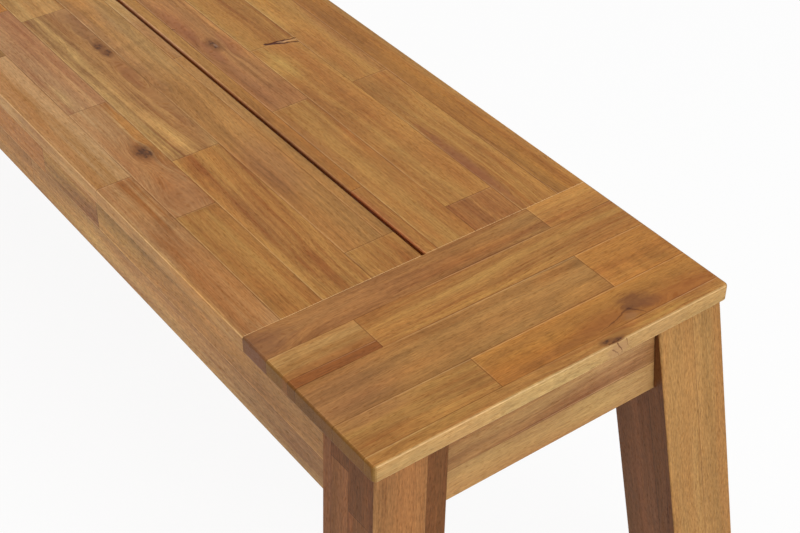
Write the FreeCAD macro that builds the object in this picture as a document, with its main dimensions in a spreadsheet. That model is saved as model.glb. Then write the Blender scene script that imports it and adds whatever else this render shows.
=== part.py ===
import FreeCAD, Part
import os
import Sketcher
from FreeCAD import Placement, Rotation, Vector

# A backless garden bench in oiled hardwood. Millimetres, +X along the seat towards the
# photographed end, +Y to the right of someone looking at that end, +Z up. The origin is on
# the floor under the middle of the seat.

doc = FreeCAD.newDocument("bench")

SIZES = {
    "seatLength": 1600,
    "seatWidth": 350,
    "seatHeight": 450,
    "boardThick": 16,
    "endBoardWide": 175,
    "boardGap": 3,
    "cornerRadius": 4,
    "arrisRadius": 2.5,
    "undersideEase": 1.5,
    "gapArris": 1.5,
    "jointEase": 0.5,
    "legSection": 67,
    "legInset": 3.8,
    "legArris": 1.5,
    "footEase": 1,
    "splayAngle": 6.4,
    "apronHigh": 69,
    "apronThick": 21,
    "apronArris": 1,
    "endApronSetback": 8.5,
    "railThick": 22,
    "jointRailWide": 50,
    "crossRailWide": 45,
    "crossRailSpacing": 420,
    "cleatWide": 22,
    "cleatEndGap": 2,
    "railArris": 1,
    "braceThick": 22,
    "braceHigh": 42,
    "braceTopGap": 1,
    "braceLegGap": 1,
    "holeClear": 0.2,
    "dowelEndGap": 0.5,
    "dowelChamfer": 1,
    "seatDowelDiam": 8,
    "seatDowelLong": 40,
    "seatDowelSpacing": 55,
    "apronDowelDiam": 10,
    "apronDowelLong": 60,
    "apronDowelSpacing": 32,
    "railDowelDiam": 8,
    "railDowelLong": 30,
    "railDowelSpacing": 24,
    "screwDiam": 4,
    "screwHeadDiam": 8,
    "screwHeadDeep": 2.5,
    "screwPoint": 4,
    "seatScrewLong": 32,
    "sideScrewLong": 35,
    "jointScrewOffset": 14,
    "cleatScrewSpacing": 60,
    "braceScrewInset": 10,
    "braceScrewSpacing": 20,
    "boltDiam": 8,
    "boltLong": 90,
    "boltInLeg": 45,
    "boltPoint": 6,
    "washerDiam": 20,
    "washerThick": 1.6,
    "nutAcross": 13,
    "nutThick": 6.5,
    "glideDiam": 24,
    "glideThick": 3,
    "glideEase": 0.8,
    "pinDiam": 4,
    "pinLong": 14,
}

sheet = doc.addObject("Spreadsheet::Sheet", "sizes")
for row, (alias, value) in enumerate(SIZES.items(), start=1):
    sheet.set("A%d" % row, alias)
    sheet.set("B%d" % row, str(value))
    sheet.setAlias("B%d" % row, alias)
doc.recompute()

ENDS = (("near", 1), ("far", -1))
SIDES = (("left", -1), ("right", 1))

# Heights and faces that several pieces share, as expressions of the sheet's cells
HALF_LENGTH = "(sizes.seatLength / 2)"
HALF_WIDTH = "(sizes.seatWidth / 2)"
UNDERSIDE = "(sizes.seatHeight - sizes.boardThick)"
SPLAY = "tan(sizes.splayAngle)"
JOINT_X = "(%s - sizes.endBoardWide)" % HALF_LENGTH
BOARD_Y = "((sizes.seatWidth + sizes.boardGap) / 4)"
LEG_OUT_X = "(%s - sizes.legInset)" % HALF_LENGTH
LEG_OUT_Y = "(%s - sizes.legInset)" % HALF_WIDTH
LEG_IN_X = "(%s - sizes.legSection)" % LEG_OUT_X
LEG_IN_Y = "(%s - sizes.legSection)" % LEG_OUT_Y
LEG_MID_X = "(%s - sizes.legSection / 2)" % LEG_OUT_X
LEG_MID_Y = "(%s - sizes.legSection / 2)" % LEG_OUT_Y
LEG_DROP = "(%s - sizes.glideThick)" % UNDERSIDE
END_APRON_OUT = "(%s - sizes.endApronSetback)" % HALF_LENGTH
END_APRON_IN = "(%s - sizes.apronThick)" % END_APRON_OUT
SIDE_APRON_IN = "(%s - sizes.apronThick)" % LEG_OUT_Y
RAIL_BOTTOM = "(%s - sizes.railThick)" % UNDERSIDE
RAIL_MID_Z = "(%s - sizes.railThick / 2)" % UNDERSIDE
BRACE_TOP = "(%s - sizes.braceTopGap)" % RAIL_BOTTOM
BRACE_MID = "(%s - sizes.braceHigh / 2)" % BRACE_TOP
BRACE_DROP = "(%s - %s)" % (UNDERSIDE, BRACE_MID)
BRACE_FOOT = (
    "(2 * sizes.legSection + sizes.legInset - sizes.endApronSetback"
    " - 2 * sizes.apronThick + sqrt(2) * sizes.braceLegGap)"
)
BRACE_REACH = "(%s + sqrt(2) * sizes.braceThick)" % BRACE_FOOT

UP = Rotation()


def facing(x, y, z):
    """The turn that points a fastener, drawn along +Z, along another direction."""
    return Rotation(Vector(0, 0, 1), Vector(x, y, z))


def number(expression):
    return float(sheet.evalExpression(expression))


def place(obj, x, y, z, turn=UP):
    obj.Placement = Placement(Vector(number(x), number(y), number(z)), turn)
    for axis, expression in zip("xyz", (x, y, z)):
        obj.setExpression("Placement.Base." + axis, expression)


def newBody(label):
    body = doc.addObject("PartDesign::Body", label)
    body.Label = label
    return body


def newSketch(body, role):
    sketch = body.newObject("Sketcher::SketchObject", body.Name + "_sketch")
    plane = next(item for item in body.Origin.OriginFeatures if item.Role == role)
    sketch.AttachmentSupport = [(plane, "")]
    sketch.MapMode = "FlatFace"
    return sketch


def pin(sketch, geometry, point, name, x, y):
    """Holds a point of the sketch at two expressions, measured from the sketch's origin."""
    for kind, mark, expression in (("DistanceX", "x", x), ("DistanceY", "y", y)):
        rule = Sketcher.Constraint(kind, -1, 1, geometry, point, number(expression))
        index = sketch.addConstraint(rule)
        sketch.renameConstraint(index, mark + name)
        sketch.setExpression("Constraints." + mark + name, expression)


def drawOutline(sketch, corners):
    """A closed outline of straight lines through corners given as pairs of expressions."""
    spots = [Vector(number(x), number(y), 0) for x, y in corners]
    for index, spot in enumerate(spots):
        following = spots[(index + 1) % len(spots)]
        sketch.addGeometry(Part.LineSegment(spot, following), False)
    for index in range(len(spots)):
        following = (index + 1) % len(spots)
        sketch.addConstraint(Sketcher.Constraint("Coincident", index, 2, following, 1))
    for index, (x, y) in enumerate(corners):
        pin(sketch, index, 1, str(index), x, y)


def drawRectangle(sketch, x1, y1, x2, y2):
    drawOutline(sketch, [(x1, y1), (x2, y1), (x2, y2), (x1, y2)])


def drawCircle(sketch, diameter):
    radius = "%s / 2" % diameter
    index = sketch.addGeometry(Part.Circle(Vector(), Vector(0, 0, 1), number(radius)), False)
    pin(sketch, index, 3, "centre%d" % index, "0", "0")
    rule = sketch.addConstraint(Sketcher.Constraint("Radius", index, number(radius)))
    sketch.renameConstraint(rule, "radius%d" % index)
    sketch.setExpression("Constraints.radius%d" % index, radius)


def pad(body, sketch, length, reverse=False):
    feature = body.newObject("PartDesign::Pad", body.Name + "_pad")
    feature.Profile = sketch
    feature.setExpression("Length", length)
    feature.Reversed = reverse
    sketch.Visibility = False
    doc.recompute()
    return feature


def turned(body, sketch):
    feature = body.newObject("PartDesign::Revolution", body.Name + "_turned")
    feature.Profile = sketch
    feature.ReferenceAxis = (sketch, ["V_Axis"])
    feature.Angle = 360
    sketch.Visibility = False
    doc.recompute()
    return feature


def edgesWhere(feature, test):
    """Names of the feature's edges whose two ends, a and b, pass the test."""
    names = []
    for index, edge in enumerate(feature.Shape.Edges, start=1):
        if test(edge.Vertexes[0].Point, edge.Vertexes[-1].Point):
            names.append("Edge%d" % index)
    return names


def ease(body, base, kind, size, test):
    """Rounds (Fillet) or bevels (Chamfer) the edges of base that pass the test."""
    feature = body.newObject("PartDesign::" + kind, body.Name + "_" + kind.lower())
    feature.Base = (base, edgesWhere(base, test))
    feature.setExpression("Radius" if kind == "Fillet" else "Size", size)
    doc.recompute()
    return feature


def same(value, target):
    return abs(value - target) < 0.01


def bothAt(a, b, **levels):
    """Whether both ends of an edge lie at the given coordinates."""
    return all(same(getattr(end, axis), level) for end in (a, b) for axis, level in levels.items())


def repeat(label, master, places):
    """One group of separate copies of master, each at its own place and turn."""
    copies = []
    for x, y, z, turn in places:
        copy = doc.addObject("App::Link", label + "_copy")
        copy.LinkedObject = master
        place(copy, x, y, z, turn)
        copies.append(copy)
    group = doc.addObject("Part::Compound", label)
    group.Label = label
    group.Links = copies
    return group


def drilled(label, body, *holeGroups):
    """The body with every hole of the given groups that passes through it."""
    body.Label = label + "_blank"
    tool = doc.addObject("Part::Compound", label + "_holes")
    tool.Links = list(holeGroups)
    cut = doc.addObject("Part::Cut", label)
    cut.Label = label
    cut.Base = body
    cut.Tool = tool
    return cut


# Fasteners, each drawn once along +Z: a dowel about its middle, a screw or bolt from its
# inner end, and the hole for each with the clearance added
def dowelMaster(name, diameter, length, chamfer=None):
    body = newBody(name)
    sketch = newSketch(body, "XY_Plane")
    drawCircle(sketch, diameter)
    rod = pad(body, sketch, length)
    if chamfer:
        ease(body, rod, "Chamfer", chamfer, lambda a, b: same(a.z, b.z))
    body.setExpression("Placement.Base.z", "-(%s) / 2" % length)
    centred = doc.addObject("Part::Compound", name + "_centred")
    centred.Links = [body]
    return centred


def dowelAndHole(name):
    diameter = "sizes.%sDiam" % name
    length = "sizes.%sLong" % name
    dowel = dowelMaster(name, diameter, length, "sizes.dowelChamfer")
    hole = dowelMaster(
        name + "Hole",
        "(%s + sizes.holeClear)" % diameter,
        "(%s + 2 * sizes.dowelEndGap)" % length,
    )
    return dowel, hole


def screwMaster(name, length, clear="0"):
    body = newBody(name)
    sketch = newSketch(body, "XZ_Plane")
    shank = "(sizes.screwDiam + %s) / 2" % clear
    head = "(sizes.screwHeadDiam + %s) / 2" % clear
    drawOutline(sketch, [
        ("0", "0"),
        (head, "0"),
        (shank, "sizes.screwHeadDeep"),
        (shank, "%s - sizes.screwPoint" % length),
        ("0", "%s + %s" % (length, clear)),
    ])
    turned(body, sketch)
    return body


def boltMaster(name, length, clear="0"):
    body = newBody(name)
    sketch = newSketch(body, "XZ_Plane")
    radius = "(sizes.boltDiam + %s) / 2" % clear
    drawOutline(sketch, [
        ("0", "0"),
        (radius, "0"),
        (radius, "%s - sizes.boltPoint" % length),
        ("0", "%s + %s" % (length, clear)),
    ])
    turned(body, sketch)
    return body


def washerMaster():
    body = newBody("washer")
    sketch = newSketch(body, "XY_Plane")
    drawCircle(sketch, "sizes.washerDiam")
    drawCircle(sketch, "(sizes.boltDiam + sizes.holeClear)")
    pad(body, sketch, "sizes.washerThick")
    return body


def nutMaster():
    body = newBody("nut")
    sketch = newSketch(body, "XY_Plane")
    flat = "sizes.nutAcross / 2"
    point = "sizes.nutAcross / sqrt(3)"
    drawOutline(sketch, [
        (point, "0"),
        ("(%s) / 2" % point, flat),
        ("-(%s) / 2" % point, flat),
        ("-%s" % point, "0"),
        ("-(%s) / 2" % point, "-%s" % flat),
        ("(%s) / 2" % point, "-%s" % flat),
    ])
    drawCircle(sketch, "(sizes.boltDiam + sizes.holeClear)")
    pad(body, sketch, "sizes.nutThick")
    return body


# Where the fasteners go
def seatDowelPlaces():
    places = []
    for _, sx in ENDS:
        for _, sy in SIDES:
            for step in (-1, 0, 1):
                x = "%d * %s" % (sx, JOINT_X)
                y = "%d * (%s + %d * sizes.seatDowelSpacing)" % (sy, BOARD_Y, step)
                places.append((x, y, "%s + sizes.boardThick / 2" % UNDERSIDE, facing(1, 0, 0)))
    return places


def apronDowelPlaces():
    places = []
    for _, sx in ENDS:
        for _, sy in SIDES:
            for step in (-1, 1):
                drop = "(sizes.apronHigh / 2 + %d * sizes.apronDowelSpacing / 2)" % step
                lean = "%s * %s" % (SPLAY, drop)
                z = "%s - %s" % (UNDERSIDE, drop)
                x = "%d * (%s + %s)" % (sx, LEG_IN_X, lean)
                y = "%d * (%s - sizes.apronThick / 2)" % (sy, LEG_OUT_Y)
                places.append((x, y, z, facing(1, 0, 0)))
                x = "%d * (%s - sizes.apronThick / 2)" % (sx, END_APRON_OUT)
                y = "%d * (%s + %s)" % (sy, LEG_IN_Y, lean)
                places.append((x, y, z, facing(0, 1, 0)))
    return places


RAILS = (
    ("joint_rail_near", JOINT_X, "sizes.jointRailWide"),
    ("cross_rail_near", "sizes.crossRailSpacing / 2", "sizes.crossRailWide"),
    ("cross_rail_far", "-sizes.crossRailSpacing / 2", "sizes.crossRailWide"),
    ("joint_rail_far", "-%s" % JOINT_X, "sizes.jointRailWide"),
)


def railDowelPlaces():
    places = []
    for _, x, _ in RAILS:
        for _, sy in SIDES:
            for step in (-1, 1):
                spot = "%s + %d * sizes.railDowelSpacing / 2" % (x, step)
                y = "%d * %s" % (sy, SIDE_APRON_IN)
                places.append((spot, y, RAIL_MID_Z, facing(0, 1, 0)))
    return places


def seatScrewPlaces():
    places = []
    for name, x, _ in RAILS:
        offsets = (-1, 1) if name.startswith("joint") else (0,)
        for offset in offsets:
            spot = "%s + %d * sizes.jointScrewOffset" % (x, offset)
            for _, sy in SIDES:
                for step in (-1, 1):
                    y = "%d * (%s + %d * sizes.seatDowelSpacing / 2)" % (sy, BOARD_Y, step)
                    places.append((spot, y, RAIL_BOTTOM, UP))
    for _, sx in ENDS:
        x = "%d * (%s - sizes.cleatWide / 2)" % (sx, END_APRON_IN)
        for step in (-1, 0, 1):
            places.append((x, "%d * sizes.cleatScrewSpacing" % step, RAIL_BOTTOM, UP))
    return places


def cleatScrewPlaces():
    places = []
    for _, sx in ENDS:
        x = "%d * (%s - sizes.cleatWide)" % (sx, END_APRON_IN)
        for step in (-1, 1):
            y = "%d * sizes.cleatScrewSpacing / 2" % step
            places.append((x, y, RAIL_MID_Z, facing(sx, 0, 0)))
    return places


def braceScrewPlaces():
    places = []
    inset = "sizes.braceScrewInset"
    far = "(%s - %s)" % (BRACE_REACH, inset)
    for _, sx in ENDS:
        for _, sy in SIDES:
            for alongX, alongY in ((far, inset), (inset, far)):
                for step in (-1, 1):
                    x = "%d * (%s - %s)" % (sx, END_APRON_IN, alongX)
                    y = "%d * (%s - %s)" % (sy, SIDE_APRON_IN, alongY)
                    z = "%s + %d * sizes.braceScrewSpacing / 2" % (BRACE_MID, step)
                    places.append((x, y, z, facing(sx, sy, 0)))
    return places


def legBoltPlaces(distance):
    """Points on the bolts' lines, at a distance from the legs' inner corners."""
    places = []
    for _, sx in ENDS:
        for _, sy in SIDES:
            lean = "%s * %s - (%s) / sqrt(2)" % (SPLAY, BRACE_DROP, distance)
            x = "%d * (%s + %s)" % (sx, LEG_IN_X, lean)
            y = "%d * (%s + %s)" % (sy, LEG_IN_Y, lean)
            places.append((x, y, BRACE_MID, facing(sx, sy, 0)))
    return places


# Pieces of wood
def longBoard(side, sy):
    body = newBody("seat_board_" + side)
    sketch = newSketch(body, "XY_Plane")
    inner = "%d * sizes.boardGap / 2" % sy
    outer = "%d * %s" % (sy, HALF_WIDTH)
    drawRectangle(sketch, "-%s" % JOINT_X, inner, JOINT_X, outer)
    step = pad(body, sketch, "sizes.boardThick")
    thick = number("sizes.boardThick")
    edge = number(outer)
    gap = number(inner)
    joint = number(JOINT_X)
    step = ease(body, step, "Fillet", "sizes.arrisRadius",
                lambda a, b: bothAt(a, b, y=edge, z=thick))
    step = ease(body, step, "Fillet", "sizes.gapArris",
                lambda a, b: bothAt(a, b, y=gap, z=thick))
    step = ease(body, step, "Fillet", "sizes.undersideEase",
                lambda a, b: bothAt(a, b, y=edge, z=0))
    ease(body, step, "Chamfer", "sizes.jointEase",
         lambda a, b: bothAt(a, b, z=thick) and same(abs(a.x), joint) and same(a.x, b.x))
    place(body, "0", "0", UNDERSIDE)
    return body


def endBoard(end, sx):
    body = newBody("end_board_" + end)
    sketch = newSketch(body, "XY_Plane")
    inner = "%d * %s" % (sx, JOINT_X)
    outer = "%d * %s" % (sx, HALF_LENGTH)
    drawRectangle(sketch, inner, "-%s" % HALF_WIDTH, outer, HALF_WIDTH)
    step = pad(body, sketch, "sizes.boardThick")
    thick = number("sizes.boardThick")
    joint = number(inner)
    tip = number(outer)
    step = ease(body, step, "Fillet", "sizes.cornerRadius",
                lambda a, b: bothAt(a, b, x=tip) and not same(a.z, b.z))
    for size, level in (("sizes.arrisRadius", thick), ("sizes.undersideEase", 0)):
        step = ease(body, step, "Fillet", size,
                    lambda a, b: bothAt(a, b, z=level) and not bothAt(a, b, x=joint))
    ease(body, step, "Chamfer", "sizes.jointEase",
         lambda a, b: bothAt(a, b, x=joint, z=thick))
    place(body, "0", "0", UNDERSIDE)
    return body


def apron(label, role, across, top, reverse):
    """A rail between two legs, its ends cut to the legs' lean and its faces eased."""
    body = newBody(label)
    sketch = newSketch(body, role)
    bottom = "(%s + %s * sizes.apronHigh)" % (top, SPLAY)
    drawOutline(sketch, [
        ("-%s" % top, "0"),
        (top, "0"),
        (bottom, "-sizes.apronHigh"),
        ("-%s" % bottom, "-sizes.apronHigh"),
    ])
    step = pad(body, sketch, "sizes.apronThick", reverse)
    ease(body, step, "Fillet", "sizes.apronArris",
         lambda a, b: same(getattr(a, across), getattr(b, across)) and not bothAt(a, b, z=0))
    return body


def leg(label, sx, sy):
    body = newBody(label)
    sketch = newSketch(body, "XY_Plane")
    half = "sizes.legSection / 2"
    drawRectangle(sketch, "-%s" % half, "-%s" % half, half, half)
    step = body.newObject("PartDesign::Pad", label + "_pad")
    step.Profile = sketch
    step.UseCustomVector = True
    step.setExpression("Direction.x", "%d * %s" % (sx, SPLAY))
    step.setExpression("Direction.y", "%d * %s" % (sy, SPLAY))
    step.setExpression("Direction.z", "-1")
    step.AlongSketchNormal = True
    step.setExpression("Length", LEG_DROP)
    sketch.Visibility = False
    doc.recompute()
    foot = number("-%s" % LEG_DROP)
    step = ease(body, step, "Fillet", "sizes.legArris", lambda a, b: not same(a.z, b.z))
    ease(body, step, "Chamfer", "sizes.footEase", lambda a, b: bothAt(a, b, z=foot))
    place(body, "%d * %s" % (sx, LEG_MID_X), "%d * %s" % (sy, LEG_MID_Y), UNDERSIDE)
    return body


def rail(label, x, wide, halfLong):
    """A flat rail across the bench, under the seat, its two lower edges eased."""
    body = newBody(label)
    sketch = newSketch(body, "XY_Plane")
    drawRectangle(sketch, "-%s / 2" % wide, "-%s" % halfLong, "%s / 2" % wide, halfLong)
    step = pad(body, sketch, "sizes.railThick")
    ease(body, step, "Fillet", "sizes.railArris",
         lambda a, b: bothAt(a, b, z=0) and same(a.x, b.x))
    place(body, x, "0", RAIL_BOTTOM)
    return body


def brace(label, sx, sy):
    """A board set across the corner, against the inner faces of both aprons."""
    body = newBody(label)
    sketch = newSketch(body, "XY_Plane")
    corners = ((BRACE_FOOT, "0"), (BRACE_REACH, "0"), ("0", BRACE_REACH), ("0", BRACE_FOOT))
    drawOutline(sketch, [
        ("%d * (%s - %s)" % (sx, END_APRON_IN, alongX),
         "%d * (%s - %s)" % (sy, SIDE_APRON_IN, alongY))
        for alongX, alongY in corners
    ])
    pad(body, sketch, "sizes.braceHigh")
    place(body, "0", "0", "%s - sizes.braceHigh" % BRACE_TOP)
    return body


def footGlide(label, sx, sy):
    body = newBody(label)
    sketch = newSketch(body, "XZ_Plane")
    radius = "sizes.glideDiam / 2"
    pinRadius = "sizes.pinDiam / 2"
    drawOutline(sketch, [
        ("0", "0"),
        ("%s - sizes.glideEase" % radius, "0"),
        (radius, "sizes.glideEase"),
        (radius, "sizes.glideThick"),
        (pinRadius, "sizes.glideThick"),
        (pinRadius, "sizes.glideThick + sizes.pinLong - %s" % pinRadius),
        ("0", "sizes.glideThick + sizes.pinLong"),
    ])
    turned(body, sketch)
    x, y = footSpot(sx, sy)
    place(body, x, y, "0")
    return body


def footSpot(sx, sy):
    lean = "%s * %s" % (SPLAY, LEG_DROP)
    return ("%d * (%s + %s)" % (sx, LEG_MID_X, lean), "%d * (%s + %s)" % (sy, LEG_MID_Y, lean))


nodes = []

seatDowel, seatDowelHole = dowelAndHole("seatDowel")
apronDowel, apronDowelHole = dowelAndHole("apronDowel")
railDowel, railDowelHole = dowelAndHole("railDowel")
seatScrew = screwMaster("seatScrew", "sizes.seatScrewLong")
seatScrewHole = screwMaster("seatScrewHole", "sizes.seatScrewLong", "sizes.holeClear")
sideScrew = screwMaster("sideScrew", "sizes.sideScrewLong")
sideScrewHole = screwMaster("sideScrewHole", "sizes.sideScrewLong", "sizes.holeClear")
bolt = boltMaster("bolt", "sizes.boltLong")
boltHole = boltMaster("boltHole", "sizes.boltLong", "sizes.holeClear")
pinHole = dowelMaster("pinHole", "(sizes.pinDiam + sizes.holeClear)",
                      "2 * (sizes.pinLong + sizes.dowelEndGap)")

nodes.append(repeat("seat_dowels", seatDowel, seatDowelPlaces()))
nodes.append(repeat("apron_dowels", apronDowel, apronDowelPlaces()))
nodes.append(repeat("rail_dowels", railDowel, railDowelPlaces()))
nodes.append(repeat("seat_screws", seatScrew, seatScrewPlaces()))
nodes.append(repeat("cleat_screws", sideScrew, cleatScrewPlaces()))
nodes.append(repeat("brace_screws", sideScrew, braceScrewPlaces()))

boltOut = "sizes.boltLong - sizes.boltInLeg"
braceInner = "(sizes.braceLegGap + sizes.braceThick + sqrt(2) * %s * %s)" % (SPLAY, BRACE_DROP)
washerInner = "(%s + sizes.washerThick)" % braceInner
nodes.append(repeat("leg_bolts", bolt, legBoltPlaces(boltOut)))
nodes.append(repeat("leg_washers", washerMaster(), legBoltPlaces(washerInner)))
nodes.append(repeat("leg_nuts", nutMaster(),
                    legBoltPlaces("%s + sizes.nutThick" % washerInner)))

seatDowelHoles = repeat("seat_dowel_holes", seatDowelHole, seatDowelPlaces())
apronDowelHoles = repeat("apron_dowel_holes", apronDowelHole, apronDowelPlaces())
railDowelHoles = repeat("rail_dowel_holes", railDowelHole, railDowelPlaces())
seatScrewHoles = repeat("seat_screw_holes", seatScrewHole, seatScrewPlaces())
cleatScrewHoles = repeat("cleat_screw_holes", sideScrewHole, cleatScrewPlaces())
braceScrewHoles = repeat("brace_screw_holes", sideScrewHole, braceScrewPlaces())
boltHoles = repeat("bolt_holes", boltHole, legBoltPlaces(boltOut))
footSpots = [footSpot(sx, sy) for _, sx in ENDS for _, sy in SIDES]
pinHoles = repeat("pin_holes", pinHole, [(x, y, "sizes.glideThick", UP) for x, y in footSpots])

for side, sy in SIDES:
    label = "seat_board_" + side
    nodes.append(drilled(label, longBoard(side, sy), seatDowelHoles, seatScrewHoles))
    label = "side_apron_" + side
    body = apron(label, "XZ_Plane", "y", LEG_IN_X, sy < 0)
    place(body, "0", "%d * %s" % (sy, LEG_OUT_Y), UNDERSIDE)
    nodes.append(drilled(label, body, apronDowelHoles, railDowelHoles, braceScrewHoles))

for end, sx in ENDS:
    label = "end_board_" + end
    nodes.append(drilled(label, endBoard(end, sx), seatDowelHoles, seatScrewHoles))
    label = "end_apron_" + end
    body = apron(label, "YZ_Plane", "x", LEG_IN_Y, sx > 0)
    place(body, "%d * %s" % (sx, END_APRON_OUT), "0", UNDERSIDE)
    nodes.append(drilled(label, body, apronDowelHoles, cleatScrewHoles, braceScrewHoles))
    label = "end_cleat_" + end
    middle = "%d * (%s - sizes.cleatWide / 2)" % (sx, END_APRON_IN)
    body = rail(label, middle, "sizes.cleatWide", "(%s - sizes.cleatEndGap)" % LEG_IN_Y)
    nodes.append(drilled(label, body, seatScrewHoles, cleatScrewHoles))
    for side, sy in SIDES:
        corner = "_%s_%s" % (end, side)
        body = leg("leg" + corner, sx, sy)
        nodes.append(drilled("leg" + corner, body, apronDowelHoles, boltHoles, pinHoles))
        body = brace("corner_brace" + corner, sx, sy)
        nodes.append(drilled("corner_brace" + corner, body, braceScrewHoles, boltHoles))
        nodes.append(footGlide("foot_glide" + corner, sx, sy))

for label, x, wide in RAILS:
    body = rail(label, x, wide, SIDE_APRON_IN)
    nodes.append(drilled(label, body, railDowelHoles, seatScrewHoles))

doc.recompute()

for obj in doc.Objects:
    if "Invalid" in obj.State or "Error" in obj.State:
        raise RuntimeError("%s failed: %s" % (obj.Name, obj.State))
for node in nodes:
    if node.Shape.isNull() or not node.Shape.isValid() or not node.Shape.Solids:
        raise RuntimeError("%s has no sound shape" % node.Label)

os.makedirs("parts", exist_ok=True)
for node in nodes:
    node.Shape.exportStep("parts/%s.step" % node.Label)
    box = node.Shape.BoundBox
    print("%-26s %2d solids, %9.1f cm3, %.1f..%.1f, %.1f..%.1f, %.1f..%.1f" % (
        node.Label, len(node.Shape.Solids), node.Shape.Volume / 1000,
        box.XMin, box.XMax, box.YMin, box.YMax, box.ZMin, box.ZMax))
print("%d nodes" % len(nodes))
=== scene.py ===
# A plain backless bench in oiled hardwood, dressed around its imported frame. Metres, +X towards
# the photographed end, +Y to the right of someone looking at that end, +Z up. The dictionaries
# hold millimetres and colours of 0 to 255, and mm() and paint() turn them into Blender's units.
import math
import random

import bmesh
import bpy
from mathutils import Matrix, Vector


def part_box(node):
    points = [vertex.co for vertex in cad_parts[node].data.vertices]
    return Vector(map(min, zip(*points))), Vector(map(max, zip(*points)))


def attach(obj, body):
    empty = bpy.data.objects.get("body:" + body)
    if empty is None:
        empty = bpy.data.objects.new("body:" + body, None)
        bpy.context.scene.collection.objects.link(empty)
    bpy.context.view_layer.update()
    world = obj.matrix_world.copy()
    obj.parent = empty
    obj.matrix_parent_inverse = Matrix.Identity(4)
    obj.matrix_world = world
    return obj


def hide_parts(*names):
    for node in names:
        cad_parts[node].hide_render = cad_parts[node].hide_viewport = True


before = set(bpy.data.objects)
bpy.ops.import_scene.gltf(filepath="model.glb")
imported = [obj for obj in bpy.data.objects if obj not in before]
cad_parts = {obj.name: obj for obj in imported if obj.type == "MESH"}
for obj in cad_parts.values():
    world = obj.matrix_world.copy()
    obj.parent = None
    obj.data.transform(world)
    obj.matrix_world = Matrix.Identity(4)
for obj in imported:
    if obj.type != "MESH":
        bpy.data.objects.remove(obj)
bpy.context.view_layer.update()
print("frame loaded,", len(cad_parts), "nodes")


def mm(*values):
    scaled = [value / 1000 for value in values]
    return scaled[0] if len(scaled) == 1 else Vector(scaled)


def paint(colour):
    parts = [value / 255 for value in colour]
    linear = [p / 12.92 if p <= 0.04045 else ((p + 0.055) / 1.055) ** 2.4 for p in parts]
    return (*linear, 1)


def addObject(name, data):
    made = bpy.data.objects.new(name, data)
    bpy.context.scene.collection.objects.link(made)
    return made


# Shader helpers: each adds a node to the tree and most give back what it puts out
def fill(tree, node, inputs):
    for key, value in inputs.items():
        if isinstance(value, bpy.types.NodeSocket):
            tree.links.new(value, node.inputs[key])
        else:
            node.inputs[key].default_value = value
    return node


def addNode(tree, kind, inputs=None, **settings):
    node = tree.nodes.new(kind)
    for name, value in settings.items():
        setattr(node, name, value)
    return fill(tree, node, inputs or {})


def numbered(*values):
    return {index: value for index, value in enumerate(values) if value is not None}


def calc(tree, operation, a, b=None, c=None, clamp=False):
    node = addNode(tree, "ShaderNodeMath", numbered(a, b, c), operation=operation, use_clamp=clamp)
    return node.outputs[0]


def times(tree, a, b):
    return calc(tree, "MULTIPLY", a, b)


def addTimes(tree, value, amount, total, clamp=False):
    return calc(tree, "MULTIPLY_ADD", value, amount, total, clamp)


def around(tree, value, amount, total):
    return addTimes(tree, calc(tree, "SUBTRACT", value, 0.5), amount, total)


def vectorCalc(tree, operation, a, b=None):
    node = addNode(tree, "ShaderNodeVectorMath", numbered(a, b), operation=operation)
    return node.outputs["Value" if operation in ("LENGTH", "DOT_PRODUCT") else "Vector"]


def scaleVector(tree, vector, amount):
    node = addNode(tree, "ShaderNodeVectorMath", {0: vector, "Scale": amount}, operation="SCALE")
    return node.outputs["Vector"]


def split(tree, vector):
    return addNode(tree, "ShaderNodeSeparateXYZ", {0: vector}).outputs


def combine(tree, x, y, z=0):
    return addNode(tree, "ShaderNodeCombineXYZ", numbered(x, y, z)).outputs[0]


def noise(tree, spot, stretch, detail=2, rough=0.5, output="Fac"):
    stretched = vectorCalc(tree, "MULTIPLY", spot, stretch)
    settings = {"Vector": stretched, "Scale": 1, "Detail": detail, "Roughness": rough}
    return addNode(tree, "ShaderNodeTexNoise", settings).outputs[output]


# A vector that wanders about zero, by half its reach each way
def wander(tree, spot, stretch, reach, detail=2, rough=0.5):
    drawn = noise(tree, spot, stretch, detail, rough, output="Color")
    drawn = vectorCalc(tree, "SUBTRACT", drawn, (0.5, 0.5, 0.5))
    return vectorCalc(tree, "MULTIPLY", drawn, reach)


def remap(tree, value, low, high, newLow=0, newHigh=1, smooth=False):
    kind = "SMOOTHSTEP" if smooth else "LINEAR"
    return addNode(tree, "ShaderNodeMapRange", numbered(value, low, high, newLow, newHigh),
                   interpolation_type=kind).outputs[0]


def blend(tree, factor, a, b, mode="MIX"):
    return addNode(tree, "ShaderNodeMix", {0: factor, 6: a, 7: b}, data_type="RGBA",
                   blend_type=mode).outputs[2]


def tinted(tree, factor, colour, tint):
    return blend(tree, factor, colour, (*tint, 1), mode="MULTIPLY")


def readAttribute(tree, name, output="Vector"):
    return addNode(tree, "ShaderNodeAttribute", attribute_name=name).outputs[output]


def objectSpot(tree):
    return addNode(tree, "ShaderNodeTexCoord").outputs["Object"]


# A node group whose sockets are given as lists of names for each kind
def newGroup(name, inputs, outputs):
    group = bpy.data.node_groups.new(name, "ShaderNodeTree")
    for direction, sockets in (("INPUT", inputs), ("OUTPUT", outputs)):
        for kind, labels in sockets.items():
            for label in labels.split():
                group.interface.new_socket(label, in_out=direction,
                                           socket_type="NodeSocket" + kind)
    start = group.nodes.new("NodeGroupInput")
    return group, start.outputs, group.nodes.new("NodeGroupOutput")


def useGroup(tree, group, inputs):
    node = tree.nodes.new("ShaderNodeGroup")
    node.node_tree = group
    return fill(tree, node, inputs).outputs


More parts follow.
